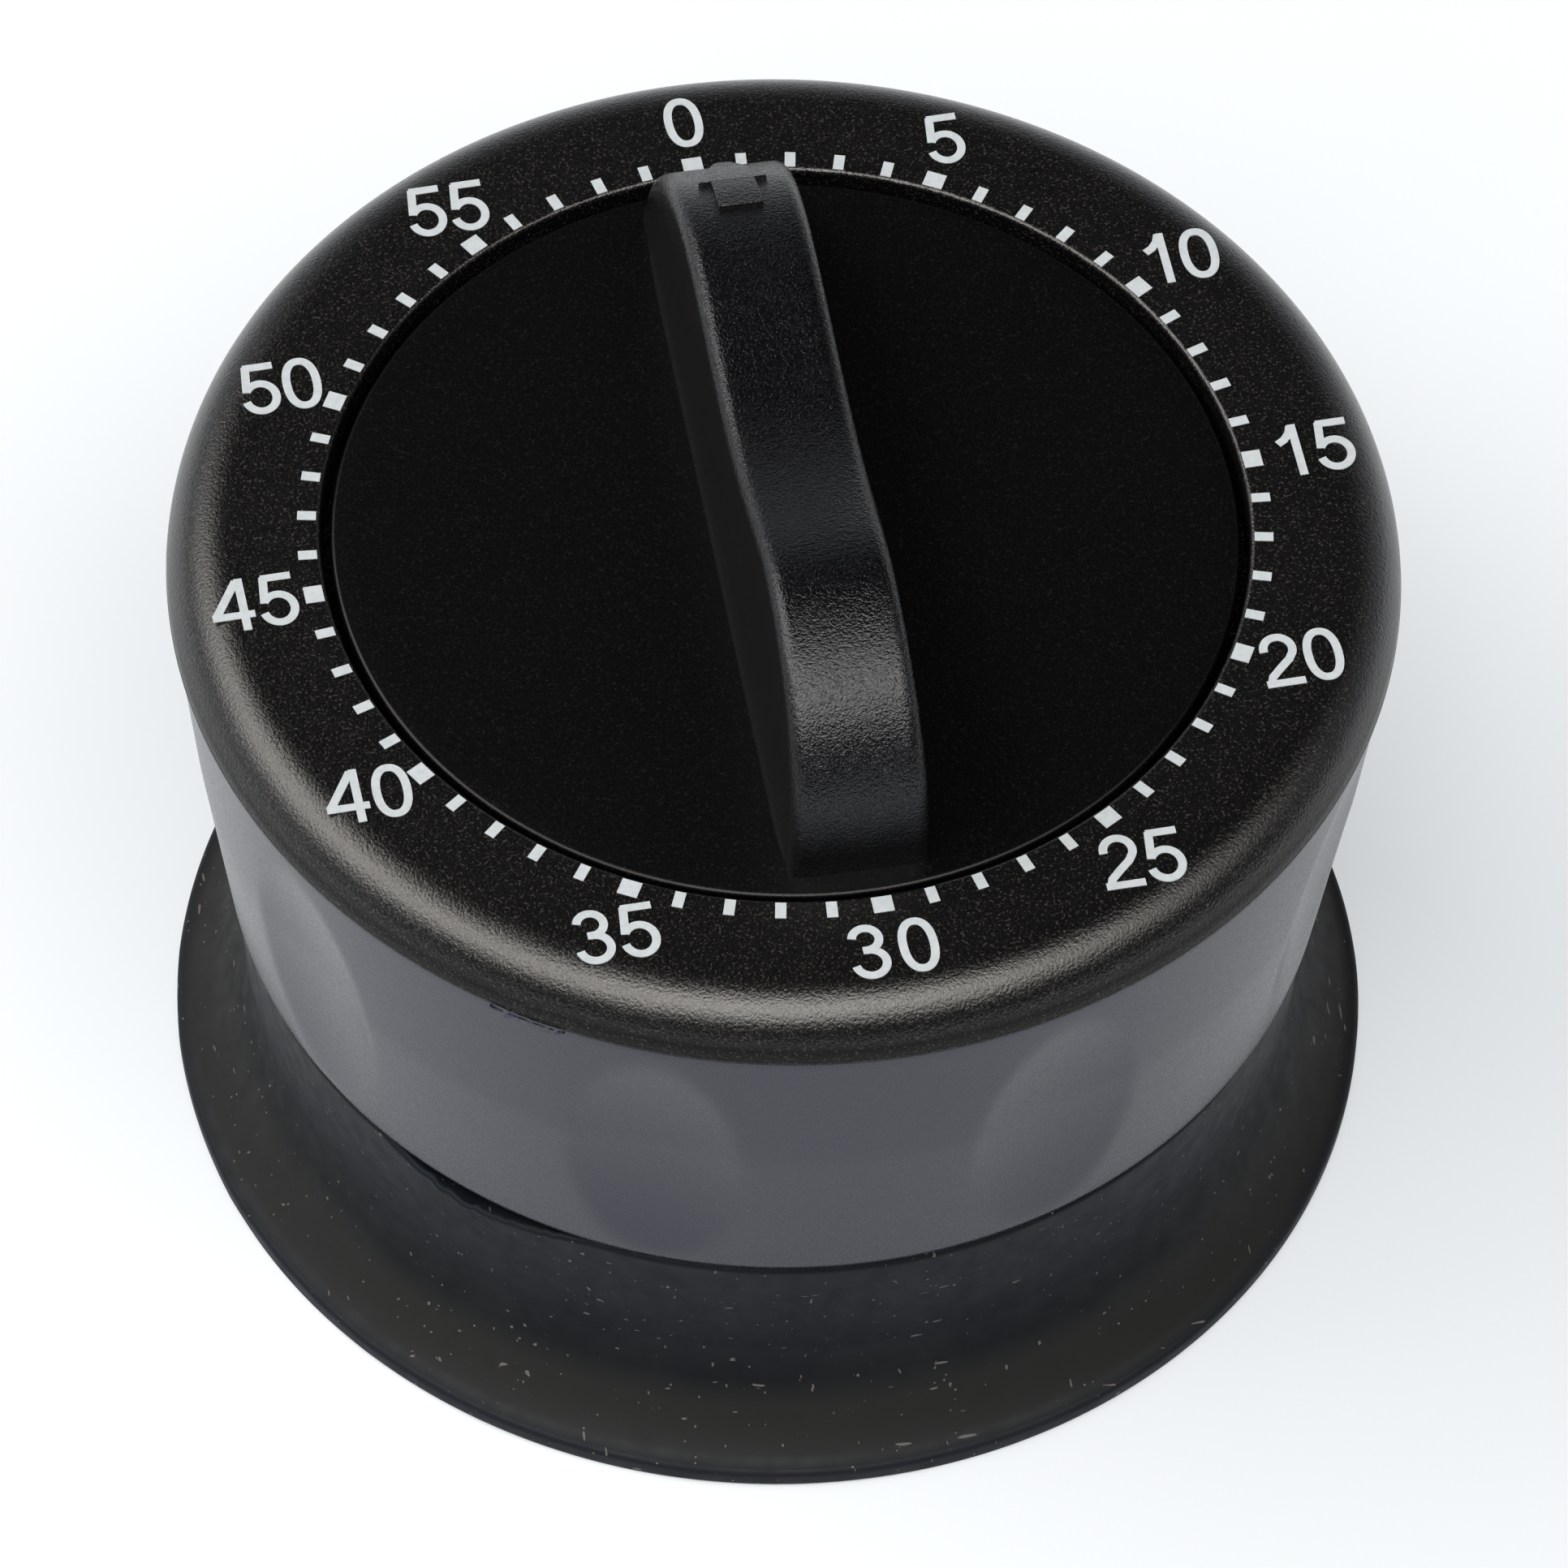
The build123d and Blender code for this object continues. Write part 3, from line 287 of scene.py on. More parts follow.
def leathered(name, colour, roughness):
    """Glossier black plastic of the knob, with a shallow leathery grain."""
    paint = Paint(name)
    pebble = paint.noise(mm(0.24), 2.0, 0.5)
    fine = paint.noise(mm(0.12), 2.0)
    scuff = paint.ramp(paint.noise(mm(4), 3.0, 0.6), 0.45, 0.75, 0.0, 0.05)
    paint.set(Base_Color=paint.mix(paint.noise(mm(6)), colour, tuple(c * 1.4 for c in colour)))
    paint.set(Roughness=paint.add(paint.ramp(fine, 0.3, 0.7, roughness - 0.04, roughness + 0.04), scuff))
    paint.set(Specular_IOR_Level=0.55, Specular_Tint=(0.92, 0.95, 1.0))
    paint.bump(paint.add(pebble, paint.times(fine, 0.6)), 0.9, mm(0.06))
    return paint.material


def rubber(name, painted_levels, dust):
    """Matt rubber with light and shade painted into its colour by height (mm, colour), that holds dust:
    specks, crumbs and a few fibres.
    """
    paint = Paint(name)
    height = paint.height()
    # Painted light and shade: the colour steps through lit, shaded and reflecting tones of one rubber by
    # height.
    base = painted_levels[0][1]
    for (low, _), (high, colour) in zip(painted_levels, painted_levels[1:]):
        base = paint.mix(paint.ramp(height, mm(low), mm(high)), base, colour)
    bloom = paint.ramp(paint.noise(mm(7), 3.0, 0.6), 0.35, 0.75, 0.0, 0.25)
    base = paint.mix(bloom, base, RUBBER_BLOOM)
    specks = paint.ramp(paint.cells(mm(0.8)), 0.10, 0.05)
    sparse = paint.ramp(paint.noise(mm(2.2), 2.0), 0.48, 0.56)
    crumbs = paint.ramp(paint.cells(mm(2.3)), 0.035, 0.02)
    fibres = paint.ramp(paint.noise(mm(0.42), 1.0, 0.5, (0.16, 1.0, 1.0)), 0.755, 0.765)
    cross_fibres = paint.ramp(paint.noise(mm(0.38), 1.0, 0.5, (1.0, 0.14, 0.6)), 0.755, 0.765)
    dotted = paint.mix(paint.times(specks, sparse), base, dust)
    dotted = paint.mix(paint.times(paint.add(fibres, cross_fibres), 0.6), dotted, dust)
    paint.set(Base_Color=paint.mix(crumbs, dotted, dust), Specular_IOR_Level=0.2, Specular_Tint=RUBBER_SHEEN)
    paint.set(Roughness=paint.ramp(paint.noise(mm(1.5)), 0.3, 0.7, 0.5, 0.62))
    paint.bump(paint.noise(mm(0.2), 3.0, 0.6), 0.3, mm(0.03))
    return paint.material


def ink(name, colour):
    """Pad-printed ink, slightly uneven and broken up by the grain under it."""
    paint = Paint(name)
    uneven = paint.ramp(paint.noise(mm(0.35), 3.0, 0.6), 0.25, 0.6)
    paint.set(Base_Color=paint.mix(uneven, tuple(c * 0.86 for c in colour), colour))
    paint.set(Roughness=paint.ramp(paint.noise(mm(0.2)), 0.3, 0.7, 0.5, 0.65))
    paint.bump(paint.noise(mm(0.14), 2.0), 0.25, mm(0.02))
    return paint.material


def metal(name, colour, roughness, stretch):
    """Turned, stamped or plated metal with fine directional marks."""
    paint = Paint(name)
    marks = paint.noise(mm(0.5), 3.0, 0.6, stretch)
    paint.set(Base_Color=paint.mix(marks, tuple(c * 0.8 for c in colour), colour), Metallic=1.0)
    paint.set(Roughness=paint.ramp(marks, 0.3, 0.7, roughness - 0.08, roughness + 0.08))
    paint.bump(marks, 0.15, mm(0.03))
    return paint.material


CASE_SHEEN = (0.72, 0.77, 1.0)
RUBBER_SHEEN = (0.75, 0.86, 1.0)
RUBBER_BLOOM = (0.016, 0.015, 0.014)
RUBBER_DUST = (0.16, 0.15, 0.135)
# Painted tones of one rubber: cool painted reflections on the rim and collar, painted shade in the crease
# under the waist.
RIM_PAINTED_REFLECTION = (0.006, 0.007, 0.010)
SKIRT_LIT_TONE = (0.0125, 0.0118, 0.0105)
CREASE_PAINTED_SHADE = (0.0015, 0.0016, 0.002)
COLLAR_PAINTED_REFLECTION = (0.0025, 0.0035, 0.0055)
# Painted light and shade of the foot by height in mm: painted reflection on the outer rim, the skirt in its
# lit tone, painted shade in the crease under the waist, painted reflection on the collar.
RUBBER_PAINTED_LIGHT_LEVELS = [(0, RIM_PAINTED_REFLECTION), (1.25, RIM_PAINTED_REFLECTION), (1.6, SKIRT_LIT_TONE), (4.2, SKIRT_LIT_TONE),
                 (6.0, CREASE_PAINTED_SHADE), (7.2, CREASE_PAINTED_SHADE), (9.5, COLLAR_PAINTED_REFLECTION)]
# Painted shade: the ring reflects less below these heights in mm, so the lower part of its rounded edge
# stays dark.
RING_PAINTED_SHADE = (45.4, 46.9, 0.12)

# The second colour of each plastic is its painted glint colour.
RING_BLACK = moulded("ring_black_plastic", (0.0028, 0.0028, 0.003), (0.03, 0.028, 0.025), 0.19, mm(0.19),
                     0.8, mm(0.06), 0.8, 0.60, painted_shade_band=RING_PAINTED_SHADE)
DISC_BLACK = moulded("disc_black_plastic", (0.0007, 0.0007, 0.0009), (0.006, 0.006, 0.0065), 0.34,
                     mm(0.2), 0.3, mm(0.025), 0.3, 0.62)
CASE_BLACK = moulded("case_black_plastic", (0.0035, 0.004, 0.0075), (0.008, 0.009, 0.013), 0.27,
                     mm(0.2), 0.12, mm(0.02), 0.5, 0.66, CASE_SHEEN)
GRIP_BLACK = leathered("grip_black_plastic", (0.001, 0.001, 0.0014), 0.2)
RUBBER_BLACK = rubber("foot_black_rubber", RUBBER_PAINTED_LIGHT_LEVELS, RUBBER_DUST)
DIAL_INK = ink("dial_white_ink", (0.46, 0.50, 0.54))
METALS = {
    "screw_steel": metal("zinc_steel", (0.60, 0.60, 0.61), 0.32, (1, 1, 6)),
    "plate_steel": metal("plate_steel", (0.66, 0.66, 0.63), 0.38, (1, 8, 1)),
    "pivot_steel": metal("pivot_steel", (0.52, 0.52, 0.54), 0.25, (1, 1, 12)),
    "spring_steel": metal("blued_spring_steel", (0.16, 0.20, 0.30), 0.3, (1, 1, 10)),
    "wheel_brass": metal("wheel_brass", (0.78, 0.58, 0.26), 0.3, (1, 8, 1)),
    "bell_steel": metal("bell_nickel", (0.74, 0.73, 0.70), 0.16, (1, 1, 9)),
}


def paint_movement():
    slots = {entry["node"]: entry["material_slot"] for entry in frame["record"]["subparts"]}
    for node, piece in frame["nodes"].items():
        if slots[node] in METALS:
            piece.data.materials.clear()
            piece.data.materials.append(METALS[slots[node]])


# --- cap, print ---------------------------------------------------------------------------
BURR_AT = radians(-125.3)
BURR_HALF = radians(3.7)
BURR_STEPS = 60
BURR_DEEP = 0.52           # how far the flake hangs down in its middle, mm
BURR_LEAST = 0.03
BURR_LEAN = 0.13           # how much the flake leans inwards, per mm down
BURR_SEED = 2.7


def make_flash():
    """Ragged flake of mould flash that hangs from the seam."""
    verts = []
    faces = []
    for k in range(BURR_STEPS + 1):
        share = 2 * k / BURR_STEPS - 1
        turn = BURR_AT + BURR_HALF * share
        ragged = noise.noise(Vector((share * 6, BURR_SEED, 0)))
        deep = BURR_DEEP * max(0.0, 1 - share * share) ** 0.8 * (0.85 + 0.5 * ragged) + BURR_LEAST
        section = ((0.02, -0.06), (0.10 + 0.06 * ragged, 0.02), (0.12 + 0.1 * ragged, deep), (-0.12, deep))
        for out, drop in section:
            r = CAP_R + mm(out) - mm(drop) * BURR_LEAN
            verts.append((r * cos(turn), r * sin(turn), SEAM_Z - mm(drop)))
    for k in range(BURR_STEPS):
        for j in range(4):
            a, b = 4 * k + j, 4 * k + (j + 1) % 4
            faces.append((a, b, b + 4, a + 4))
    faces += [(3, 2, 1, 0), tuple(4 * BURR_STEPS + j for j in range(4))]
    return place(add_mesh("seam_flash", verts, faces, CASE_BLACK, 40), "housing", "dial_plastic")


CAP_LIP = 0.34             # the next are heights, radii and roundings in mm
CAP_WEB_TOP = 44.4
CAP_WEB_LOW = 42.8
CAP_WALL = 2.0
CAP_HUB_HOLE = 5.6
CAP_SPIGOT_R = 35.2
CAP_SPIGOT_LOW = 40.6
CAP_SEAM_ROUND = 0.3


def make_cap():
    face = FACE_Z * 1000
    seam = SEAM_Z * 1000
    r = CAP_R * 1000
    hole = RING_INNER_R * 1000
    inside = CAP_SPIGOT_R - CAP_WALL
    corners = [
        (CAP_SPIGOT_R, CAP_SPIGOT_LOW, 0), (inside, CAP_SPIGOT_LOW, 0), (inside, face - CAP_WALL, 0),
        (hole + CAP_WALL, face - CAP_WALL, 0), (hole + CAP_WALL, CAP_WEB_LOW, 0),
        (CAP_HUB_HOLE, CAP_WEB_LOW, 0), (CAP_HUB_HOLE, CAP_WEB_TOP, 0), (hole, CAP_WEB_TOP, 0),
        (hole, face, CAP_LIP), (r, face, CAP_EDGE * 1000), (r - 0.06, seam + 0.06, CAP_SEAM_ROUND),
        (CAP_SPIGOT_R, seam, 0),
    ]
    outline = subdivided(rounded(corners, 14), mm(0.8))
    piece = lathe("dial_ring", outline, RING_BLACK, 720)
    return place(piece, "housing", "dial_plastic", "dial_cap")


PRINT_T = mm(0.03)
PRINT_LAYER = mm(0.003)    # strips that cross lie on slightly different levels
PRINT_LAYERS = 7
STROKE_INNER = mm(28.36)
STROKE_OUTER = mm(29.5)
STROKE_HALF = mm(0.33)
FIVE_HALF = mm(0.62)


def printed(name, strips):
    """Thin closed slabs of ink on the ring's face. Each strip is a list of (left, right)."""
    verts = []
    faces = []
    for number, strip in enumerate(strips):
        first = len(verts)
        top = FACE_Z + PRINT_T + PRINT_LAYER * (number % PRINT_LAYERS)
        for left, right in strip:
            for x, y in (left, right):
                verts += [(x, y, top), (x, y, FACE_Z - PRINT_T)]
        for k in range(len(strip) - 1):
            a = first + 4 * k
            b = a + 4
            faces += [(a, a + 2, b + 2, b), (a + 1, b + 1, b + 3, a + 3), (a, b, b + 1, a + 1),
                      (a + 2, a + 3, b + 3, b + 2)]
        end = first + 4 * (len(strip) - 1)
        faces += [(first, first + 1, first + 3, first + 2), (end, end + 2, end + 3, end + 1)]
    piece = add_mesh(name, verts, faces, DIAL_INK, 30)
    return place(piece, "housing", "dial_plastic")


def make_strokes():
    strips = []
    for minute in range(60):
        half = STROKE_HALF if minute % 5 else FIVE_HALF
        ahead = Vector((sin(radians(6 * minute)), cos(radians(6 * minute))))
        side = Vector((ahead.y, -ahead.x)) * half
        strips.append([(tuple(ahead * r - side), tuple(ahead * r + side))
                       for r in (STROKE_INNER, STROKE_OUTER)])
    return printed("minute_strokes", strips)


def arc(cx, cy, rx, ry, start, end, steps=24, square=1.0):
    """Part of an ellipse; square below 1 fills out its corners."""
    points = []
    for k in range(steps + 1):
        turn = radians(start + (end - start) * k / steps)
        c, d = cos(turn), sin(turn)
        points.append((cx + rx * abs(c) ** square * (1 if c > 0 else -1),
                       cy + ry * abs(d) ** square * (1 if d > 0 else -1)))
    return points


# Centre lines of the strokes of a plain sans-serif face, for figures 1 high. A pen width is added.
FIGURES = {
    "0": [arc(0.30, 0.5, 0.232, 0.437, 90, 450, 48, 0.88)],
    "1": [[(0.03, 0.655), (0.14, 0.72), (0.235, 0.83), (0.285, 0.97)], [(0.305, 0.0), (0.305, 1.0)]],
    "2": [arc(0.305, 0.705, 0.222, 0.232, 186, -24)
          + [(0.44, 0.50), (0.26, 0.335), (0.115, 0.19), (0.075, 0.065)],
          [(0.0, 0.065), (0.60, 0.065)]],
    "3": [arc(0.285, 0.735, 0.205, 0.202, 170, -90) + [(0.21, 0.533)],
          arc(0.29, 0.297, 0.235, 0.233, 100, -172)],
    "4": [[(0.0, 0.30), (0.655, 0.30)], [(0.05, 0.30), (0.455, 0.955)], [(0.495, 0.0), (0.495, 1.0)]],
    "5": [[(0.575, 0.937), (0.115, 0.937)], [(0.155, 0.96), (0.10, 0.46)],
          arc(0.305, 0.335, 0.24, 0.27, 148, -166, 30)],
}
WIDTHS = {"1": 0.37, "4": 0.655}
FIGURE_W = 0.60
GAPS = {"10": 0.18, "15": 0.20, "30": 0.15}
GAP = 0.07
PEN = 0.13                 # stroke width, in figure heights
FIGURE_H = mm(3.95)
# Middles of the numbers in mm: they stand upright, a little off the circle of the strokes.
NUMBER_PLACES = {
    0: (0.1, 32.4), 5: (15.7, 28.2), 10: (28.2, 16.4), 15: (32.9, 0.2), 20: (28.5, -15.4),
    25: (15.8, -28.4), 30: (0.0, -32.2), 35: (-15.9, -28.2), 40: (-28.4, -15.4), 45: (-32.6, 0.0),
    50: (-28.1, 16.2), 55: (-15.6, 28.2),
}


def pen_strip(path, width):
    """Left and right edges of a stroke along a centre line."""
    points = [Vector(p) for p in path]
    closed = (points[0] - points[-1]).length < 1e-6
    strip = []
    for k, point in enumerate(points):
        before = points[k - 1] if k else (points[-2] if closed else point)
        after = points[k + 1] if k + 1 < len(points) else (points[1] if closed else point)
        along = (after - before).normalized()
        side = Vector((-along.y, along.x)) * width / 2
        strip.append((point + side, point - side))
    return strip


def make_numbers():
    strips = []
    for minute, (x, y) in NUMBER_PLACES.items():
        text = str(minute)
        gap = GAPS.get(text, GAP)
        left = -(sum(WIDTHS.get(figure, FIGURE_W) for figure in text) + gap * (len(text) - 1)) / 2
        centre = Vector((mm(x), mm(y)))
        for figure in text:
            for path in FIGURES[figure]:
                shifted = [(px + left, py - 0.5) for px, py in path]
                strips.append([(tuple(centre + one * FIGURE_H), tuple(centre + other * FIGURE_H))
                               for one, other in pen_strip(shifted, PEN)])
            left += WIDTHS.get(figure, FIGURE_W) + gap
    return printed("dial_numbers", strips)


# --- case ---------------------------------------------------------------------------------
DIMPLE_LOW = mm(18.6)      # the hollows stay above this and a little under the seam
DIMPLE_SEAM_GAP = mm(0.6)
DIMPLE_OUTER = mm(33)      # only the outside skin, beyond this radius, is pressed
DIMPLE_TALL = mm(186)      # sizes of the pressing tool along the wall and across it
DIMPLE_WIDE = mm(41)
DIMPLE_STRETCH = 1.01
DIMPLE_EGG = 10.0          # how much narrower the hollow gets, per metre of height
DIMPLE_SOFT = mm(0.05)
DIMPLE_FADE = mm(0.5)


def case_shape(r, z, turn):
    """Presses the nine egg-shaped finger hollows into the outside of the case."""
    if z < DIMPLE_LOW or z > SEAM_Z - DIMPLE_SEAM_GAP or r < DIMPLE_OUTER:
        return r, z
    pitch = 2 * pi / DIMPLES
    off = (turn - radians(DIMPLE_FIRST) + pitch / 2) % pitch - pitch / 2
    across = off * r
    along = (z - DIMPLE_Z) * DIMPLE_STRETCH
    egg = 1 + DIMPLE_EGG * along
    cut = DIMPLE_DEPTH - along ** 2 / DIMPLE_TALL - across ** 2 * egg / DIMPLE_WIDE
    pressed = DIMPLE_SOFT * np.logaddexp(0, cut / DIMPLE_SOFT)
    return r - pressed + DIMPLE_SOFT * np.logaddexp(0, -DIMPLE_FADE / DIMPLE_SOFT), z


CASE_SEAM_SET = 0.12       # the case stands this far inside the cap at the seam, mm
CASE_WAIST_SET = 1.35
CASE_FOOT_R = 34.15
CASE_FOOT_Z = 18.15
CASE_SHOULDER_Z = 18.1
CASE_SOCKET_R = 31.5
CASE_LOW_Z = 9.6
CASE_WALL = 2.0
CASE_BORE_R = 35.25
CASE_BORE_Z = 40.0


def make_case():
    top = SEAM_Z * 1000
    r = CASE_HIGH.x * 1000
    waist_z = (top + 19) / 2 + 0.6
    inside = CASE_SOCKET_R - CASE_WALL
    corners = [
        (r - CASE_SEAM_SET, top, 0.25), (r - CASE_WAIST_SET, waist_z, 60), (CASE_FOOT_R, CASE_FOOT_Z, 1.2),
        (CASE_SOCKET_R, CASE_SHOULDER_Z, 0), (CASE_SOCKET_R, CASE_LOW_Z, 0.7), (0, CASE_LOW_Z, 0),
        (0, CASE_LOW_Z + CASE_WALL, 0), (inside, CASE_LOW_Z + CASE_WALL, 0.5), (inside, 18.7, 0),
        (CASE_FOOT_R - CASE_WALL - 0.05, 20.7, 0), (CASE_BORE_R, CASE_BORE_Z, 0), (CASE_BORE_R, top, 0),
    ]
    outline = subdivided(rounded(corners, 10), mm(0.7))
    piece = lathe("case_shell", outline, CASE_BLACK, 1080, case_shape)
    return place(piece, "housing", "case_plastic", "lower_case")


# --- rubber foot --------------------------------------------------------------------------
GAP_AT = radians(-134.0)
GAP_HALF = radians(13.5)


def through(first, middle, last, steps=14):
    """Points on the circle through three points, from first to last."""
    (ax, ay), (bx, by), (cx, cy) = first, middle, last
    d = 2 * (ax * (by - cy) + bx * (cy - ay) + cx * (ay - by))
    a2, b2, c2 = ax * ax + ay * ay, bx * bx + by * by, cx * cx + cy * cy
    x = (a2 * (by - cy) + b2 * (cy - ay) + c2 * (ay - by)) / d
    y = (a2 * (cx - bx) + b2 * (ax - cx) + c2 * (bx - ax)) / d
    radius = hypot(ax - x, ay - y)
    start = atan2(ay - y, ax - x)
    sweep = (atan2(cy - y, cx - x) - start + pi) % (2 * pi) - pi
    return [(x + radius * cos(start + sweep * k / steps), y + radius * sin(start + sweep * k / steps))
            for k in range(steps + 1)]


LIP_FROM_Z = mm(12)        # the collar moves above this height
LIP_OUT = mm(1.15)
LIP_DROP = mm(0.55)
LIP_WAVE = mm(0.08)
LIP_INSIDE_R = mm(33)
WORN_FROM_R = mm(34)
WORN_FROM_Z = mm(0.2)
WORN_DEEP = mm(0.12)


def foot_shape(r, z, turn):
    """Uneven collar lip, pulled away from the case over one stretch, and a hand-worn rim."""
    off = (turn - GAP_AT + pi) % (2 * pi) - pi
    wave = noise.noise(Vector((cos(turn) * 3, sin(turn) * 3, 1.3)))
    ripple = noise.noise(Vector((off * 60, 0.4, 7.1)))
    if z > LIP_FROM_Z:
        rise = ((z - LIP_FROM_Z) / (COLLAR_TOP_Z - LIP_FROM_Z)) ** 2
        open_lip = max(0.0, 1 - (off / GAP_HALF) ** 2) ** 1.5
        inner = 1.0 if r < LIP_INSIDE_R else 0.55
        out = LIP_OUT * open_lip * rise * inner * (1 + 0.18 * ripple)
        drop = (LIP_DROP * open_lip * (1 + 0.5 * ripple) + LIP_WAVE * abs(wave)) * rise
        return r + out, z - drop
    if r > WORN_FROM_R and z > WORN_FROM_Z:
        return r - WORN_DEEP * abs(wave), z
    return r, z


SKIRT_MIDDLE = (34.9, 3.55)     # radii and heights in mm
SKIRT_WAIST = (33.1, 8.4)
RIM_TOP_Z = 1.5
COLLAR_R = 33.85
CUP_R = 31.6
CUP_FLOOR_Z = 9.55
HOLLOW_MIDDLE = (22.0, 4.4)
HOLLOW_TOP_Z = 6.2
RIM_FLAT = 1.5


def make_foot():
    top = COLLAR_TOP_Z * 1000
    r = FOOT_R * 1000
    skirt = [(x, z, 0) for x, z in through((r - 0.7, RIM_TOP_Z), SKIRT_MIDDLE, SKIRT_WAIST)]
    corners = [
        (r, 0.02, 0.45), (r, 1.3, 0.5), *skirt, (COLLAR_R, top, 0.45), (CUP_R, top, 0.3),
        (CUP_R, CUP_FLOOR_Z, 0.4), (0, CUP_FLOOR_Z, 0), (0, HOLLOW_TOP_Z, 0), (*HOLLOW_MIDDLE, 30),
        (r - RIM_FLAT, 0, 0.3),
    ]
    outline = subdivided(rounded(corners, 12), mm(0.6))
    piece = lathe("rubber_foot", outline, RUBBER_BLACK, 900, foot_shape)
    return place(piece, "housing", "foot_rubber", "suction_foot")


# --- knob ---------------------------------------------------------------------------------
GRIP_HALF = mm(4.38)
GRIP_DRAFT = 0.042
GRIP_EDGE = mm(0.95)
# Side view of the grip's top, from its near end over the hump and the saddle to the pointer.
GRIP_PROFILE = [
    (-25.9, 47.6), (-25.2, 53.0), (-23.6, 56.0), (-20.9, 58.6), (-17.2, 60.3), (-13.2, 60.9), (-9.0, 60.1),
    (-4.2, 58.9), (0.5, 58.4), (6.0, 58.6), (12.0, 58.9), (16.6, 58.4), (21.0, 56.4), (24.4, 53.0),
    (26.6, 47.6),
]


def knob_point(x, y, z):
    turn = radians(KNOB_TURN)
    return (x * cos(turn) - y * sin(turn), x * sin(turn) + y * cos(turn), z)


def grip_rows(samples=260):
    """Points (s, z) along the grip's top and the outward direction at each."""
    curve = smooth_curve(GRIP_PROFILE, samples) / 1000
    along = np.gradient(curve, axis=0)
    along /= np.linalg.norm(along, axis=1)[:, None]
    return curve, np.stack([-along[:, 1], along[:, 0]], axis=1)


def grip_half(z):
    return GRIP_HALF - GRIP_DRAFT * max(0.0, z - DISC_Z)


def grip_ring(point, out, arc_steps=8, flat_steps=10):
    """Cross-section of the top strip at one point of the profile, from the left wall to the right."""
    half = grip_half(point[1])
    places = []
    for k in range(arc_steps + 1):
        turn = pi / 2 * k / arc_steps
        places.append((-half + GRIP_EDGE * (1 - cos(turn)), GRIP_EDGE * (1 - sin(turn))))
    flat = half - GRIP_EDGE
    for k in range(1, flat_steps):
        places.append((-flat + 2 * flat * k / flat_steps, 0.0))
    places += [(-x, depth) for x, depth in places[arc_steps::-1]]
    return [(x, point[0] - out[0] * depth, point[1] - out[1] * depth) for x, depth in places]


GRIP_ROOT = mm(0.4)        # how deep the grip's mesh runs into the disc
# Share of the way down a side wall, and how far the wall has flared out there, in mm.
WALL_ROWS = ((0.25, 0), (0.5, 0), (0.75, 0), (0.93, 0.02), (0.985, 0.08), (1.0, 0.2))
FLARE_FROM = mm(5)         # the flare fades out where the grip is lower than this
FLARE_OVER = mm(4)


def make_grip():
    curve, outward = grip_rows()
    verts = []
    faces = []
    rows = [grip_ring(point, out) for point, out in zip(curve, outward)]
    base = DISC_Z - GRIP_ROOT
    wide = len(rows[0])
    for row in rows:
        verts += [knob_point(x, s, max(z, base)) for x, s, z in row]
    for a in range(len(rows) - 1):
        for b in range(wide - 1):
            i = a * wide + b
            faces.append((i, i + 1, i + wide + 1, i + wide))
    for side, column in ((-1, 0), (1, wide - 1)):
        drops = []
        for a, row in enumerate(rows):
            x, s, z = row[column]
            top = max(z, base)
            fade = min(1.0, max(0.0, z - base - FLARE_FROM) / FLARE_OVER)
            chain = [a * wide + column]
            for share, flare in WALL_ROWS:
                height = top + (DISC_Z - top) * share
                flare *= fade
                chain.append(len(verts))
                verts.append(knob_point(side * (grip_half(height) + mm(flare)), s, height))
            chain.append(len(verts))
            verts.append(knob_point(side * (grip_half(base) + mm(flare)), s, base))
            drops.append(chain)
        for first, second in zip(drops, drops[1:]):
            for k in range(len(first) - 1):
                quad = (first[k], second[k], second[k + 1], first[k + 1])
                faces.append(quad if side < 0 else quad[::-1])
    piece = add_mesh("knob_grip", verts, faces, GRIP_BLACK, 50)
    return place(piece, "knob_and_arbor", "knob_plastic")


ARROW_RELIEF = mm(0.3)
ARROW_SINK = mm(0.25)
ARROW_DRAFT = 0.06
ARROW_WORN = mm(0.08)
# (distance along the grip, half width) of the pointer mark in mm: stem, barbs, tip.
ARROW_ROWS = [(16.6, 1.35), (17.6, 1.35), (18.6, 1.35), (19.6, 1.35), (19.62, 2.1), (20.7, 1.6),
              (21.8, 1.08), (22.9, 0.55), (24.0, 0.05)]


def make_arrow():
    curve, outward = grip_rows()
    verts = []
    faces = []
    for s, half in ARROW_ROWS:
        k = int(np.argmin(np.hypot(curve[:, 0] - mm(s), (curve[:, 1] < DISC_Z + mm(2)) * 1.0)))
        point, out = curve[k], outward[k]
        top = point + out * ARROW_RELIEF
        foot = point - out * ARROW_SINK
        for x, at in ((-half - ARROW_DRAFT, foot), (-half, top), (half, top), (half + ARROW_DRAFT, foot)):
            verts.append(knob_point(mm(x), at[0], at[1]))
    for k in range(len(ARROW_ROWS) - 1):
        a, b = 4 * k, 4 * k + 4
        faces += [(a, a + 1, b + 1, b), (a + 1, a + 2, b + 2, b + 1), (a + 2, a + 3, b + 3, b + 2),
                  (a, b, b + 3, a + 3)]
    end = 4 * (len(ARROW_ROWS) - 1)
    faces += [(0, 3, 2, 1), (end, end + 1, end + 2, end + 3)]
    piece = add_mesh("pointer_arrow", verts, faces, GRIP_BLACK, 30)
    bevel = piece.modifiers.new("worn_edges", "BEVEL")
    bevel.width = ARROW_WORN
    bevel.segments = 2
    return place(piece, "knob_and_arbor", "knob_plastic")


HUB_R = 5.0                # radii and heights in mm
BORE_R = 2.1
BORE_TOP = 46.7


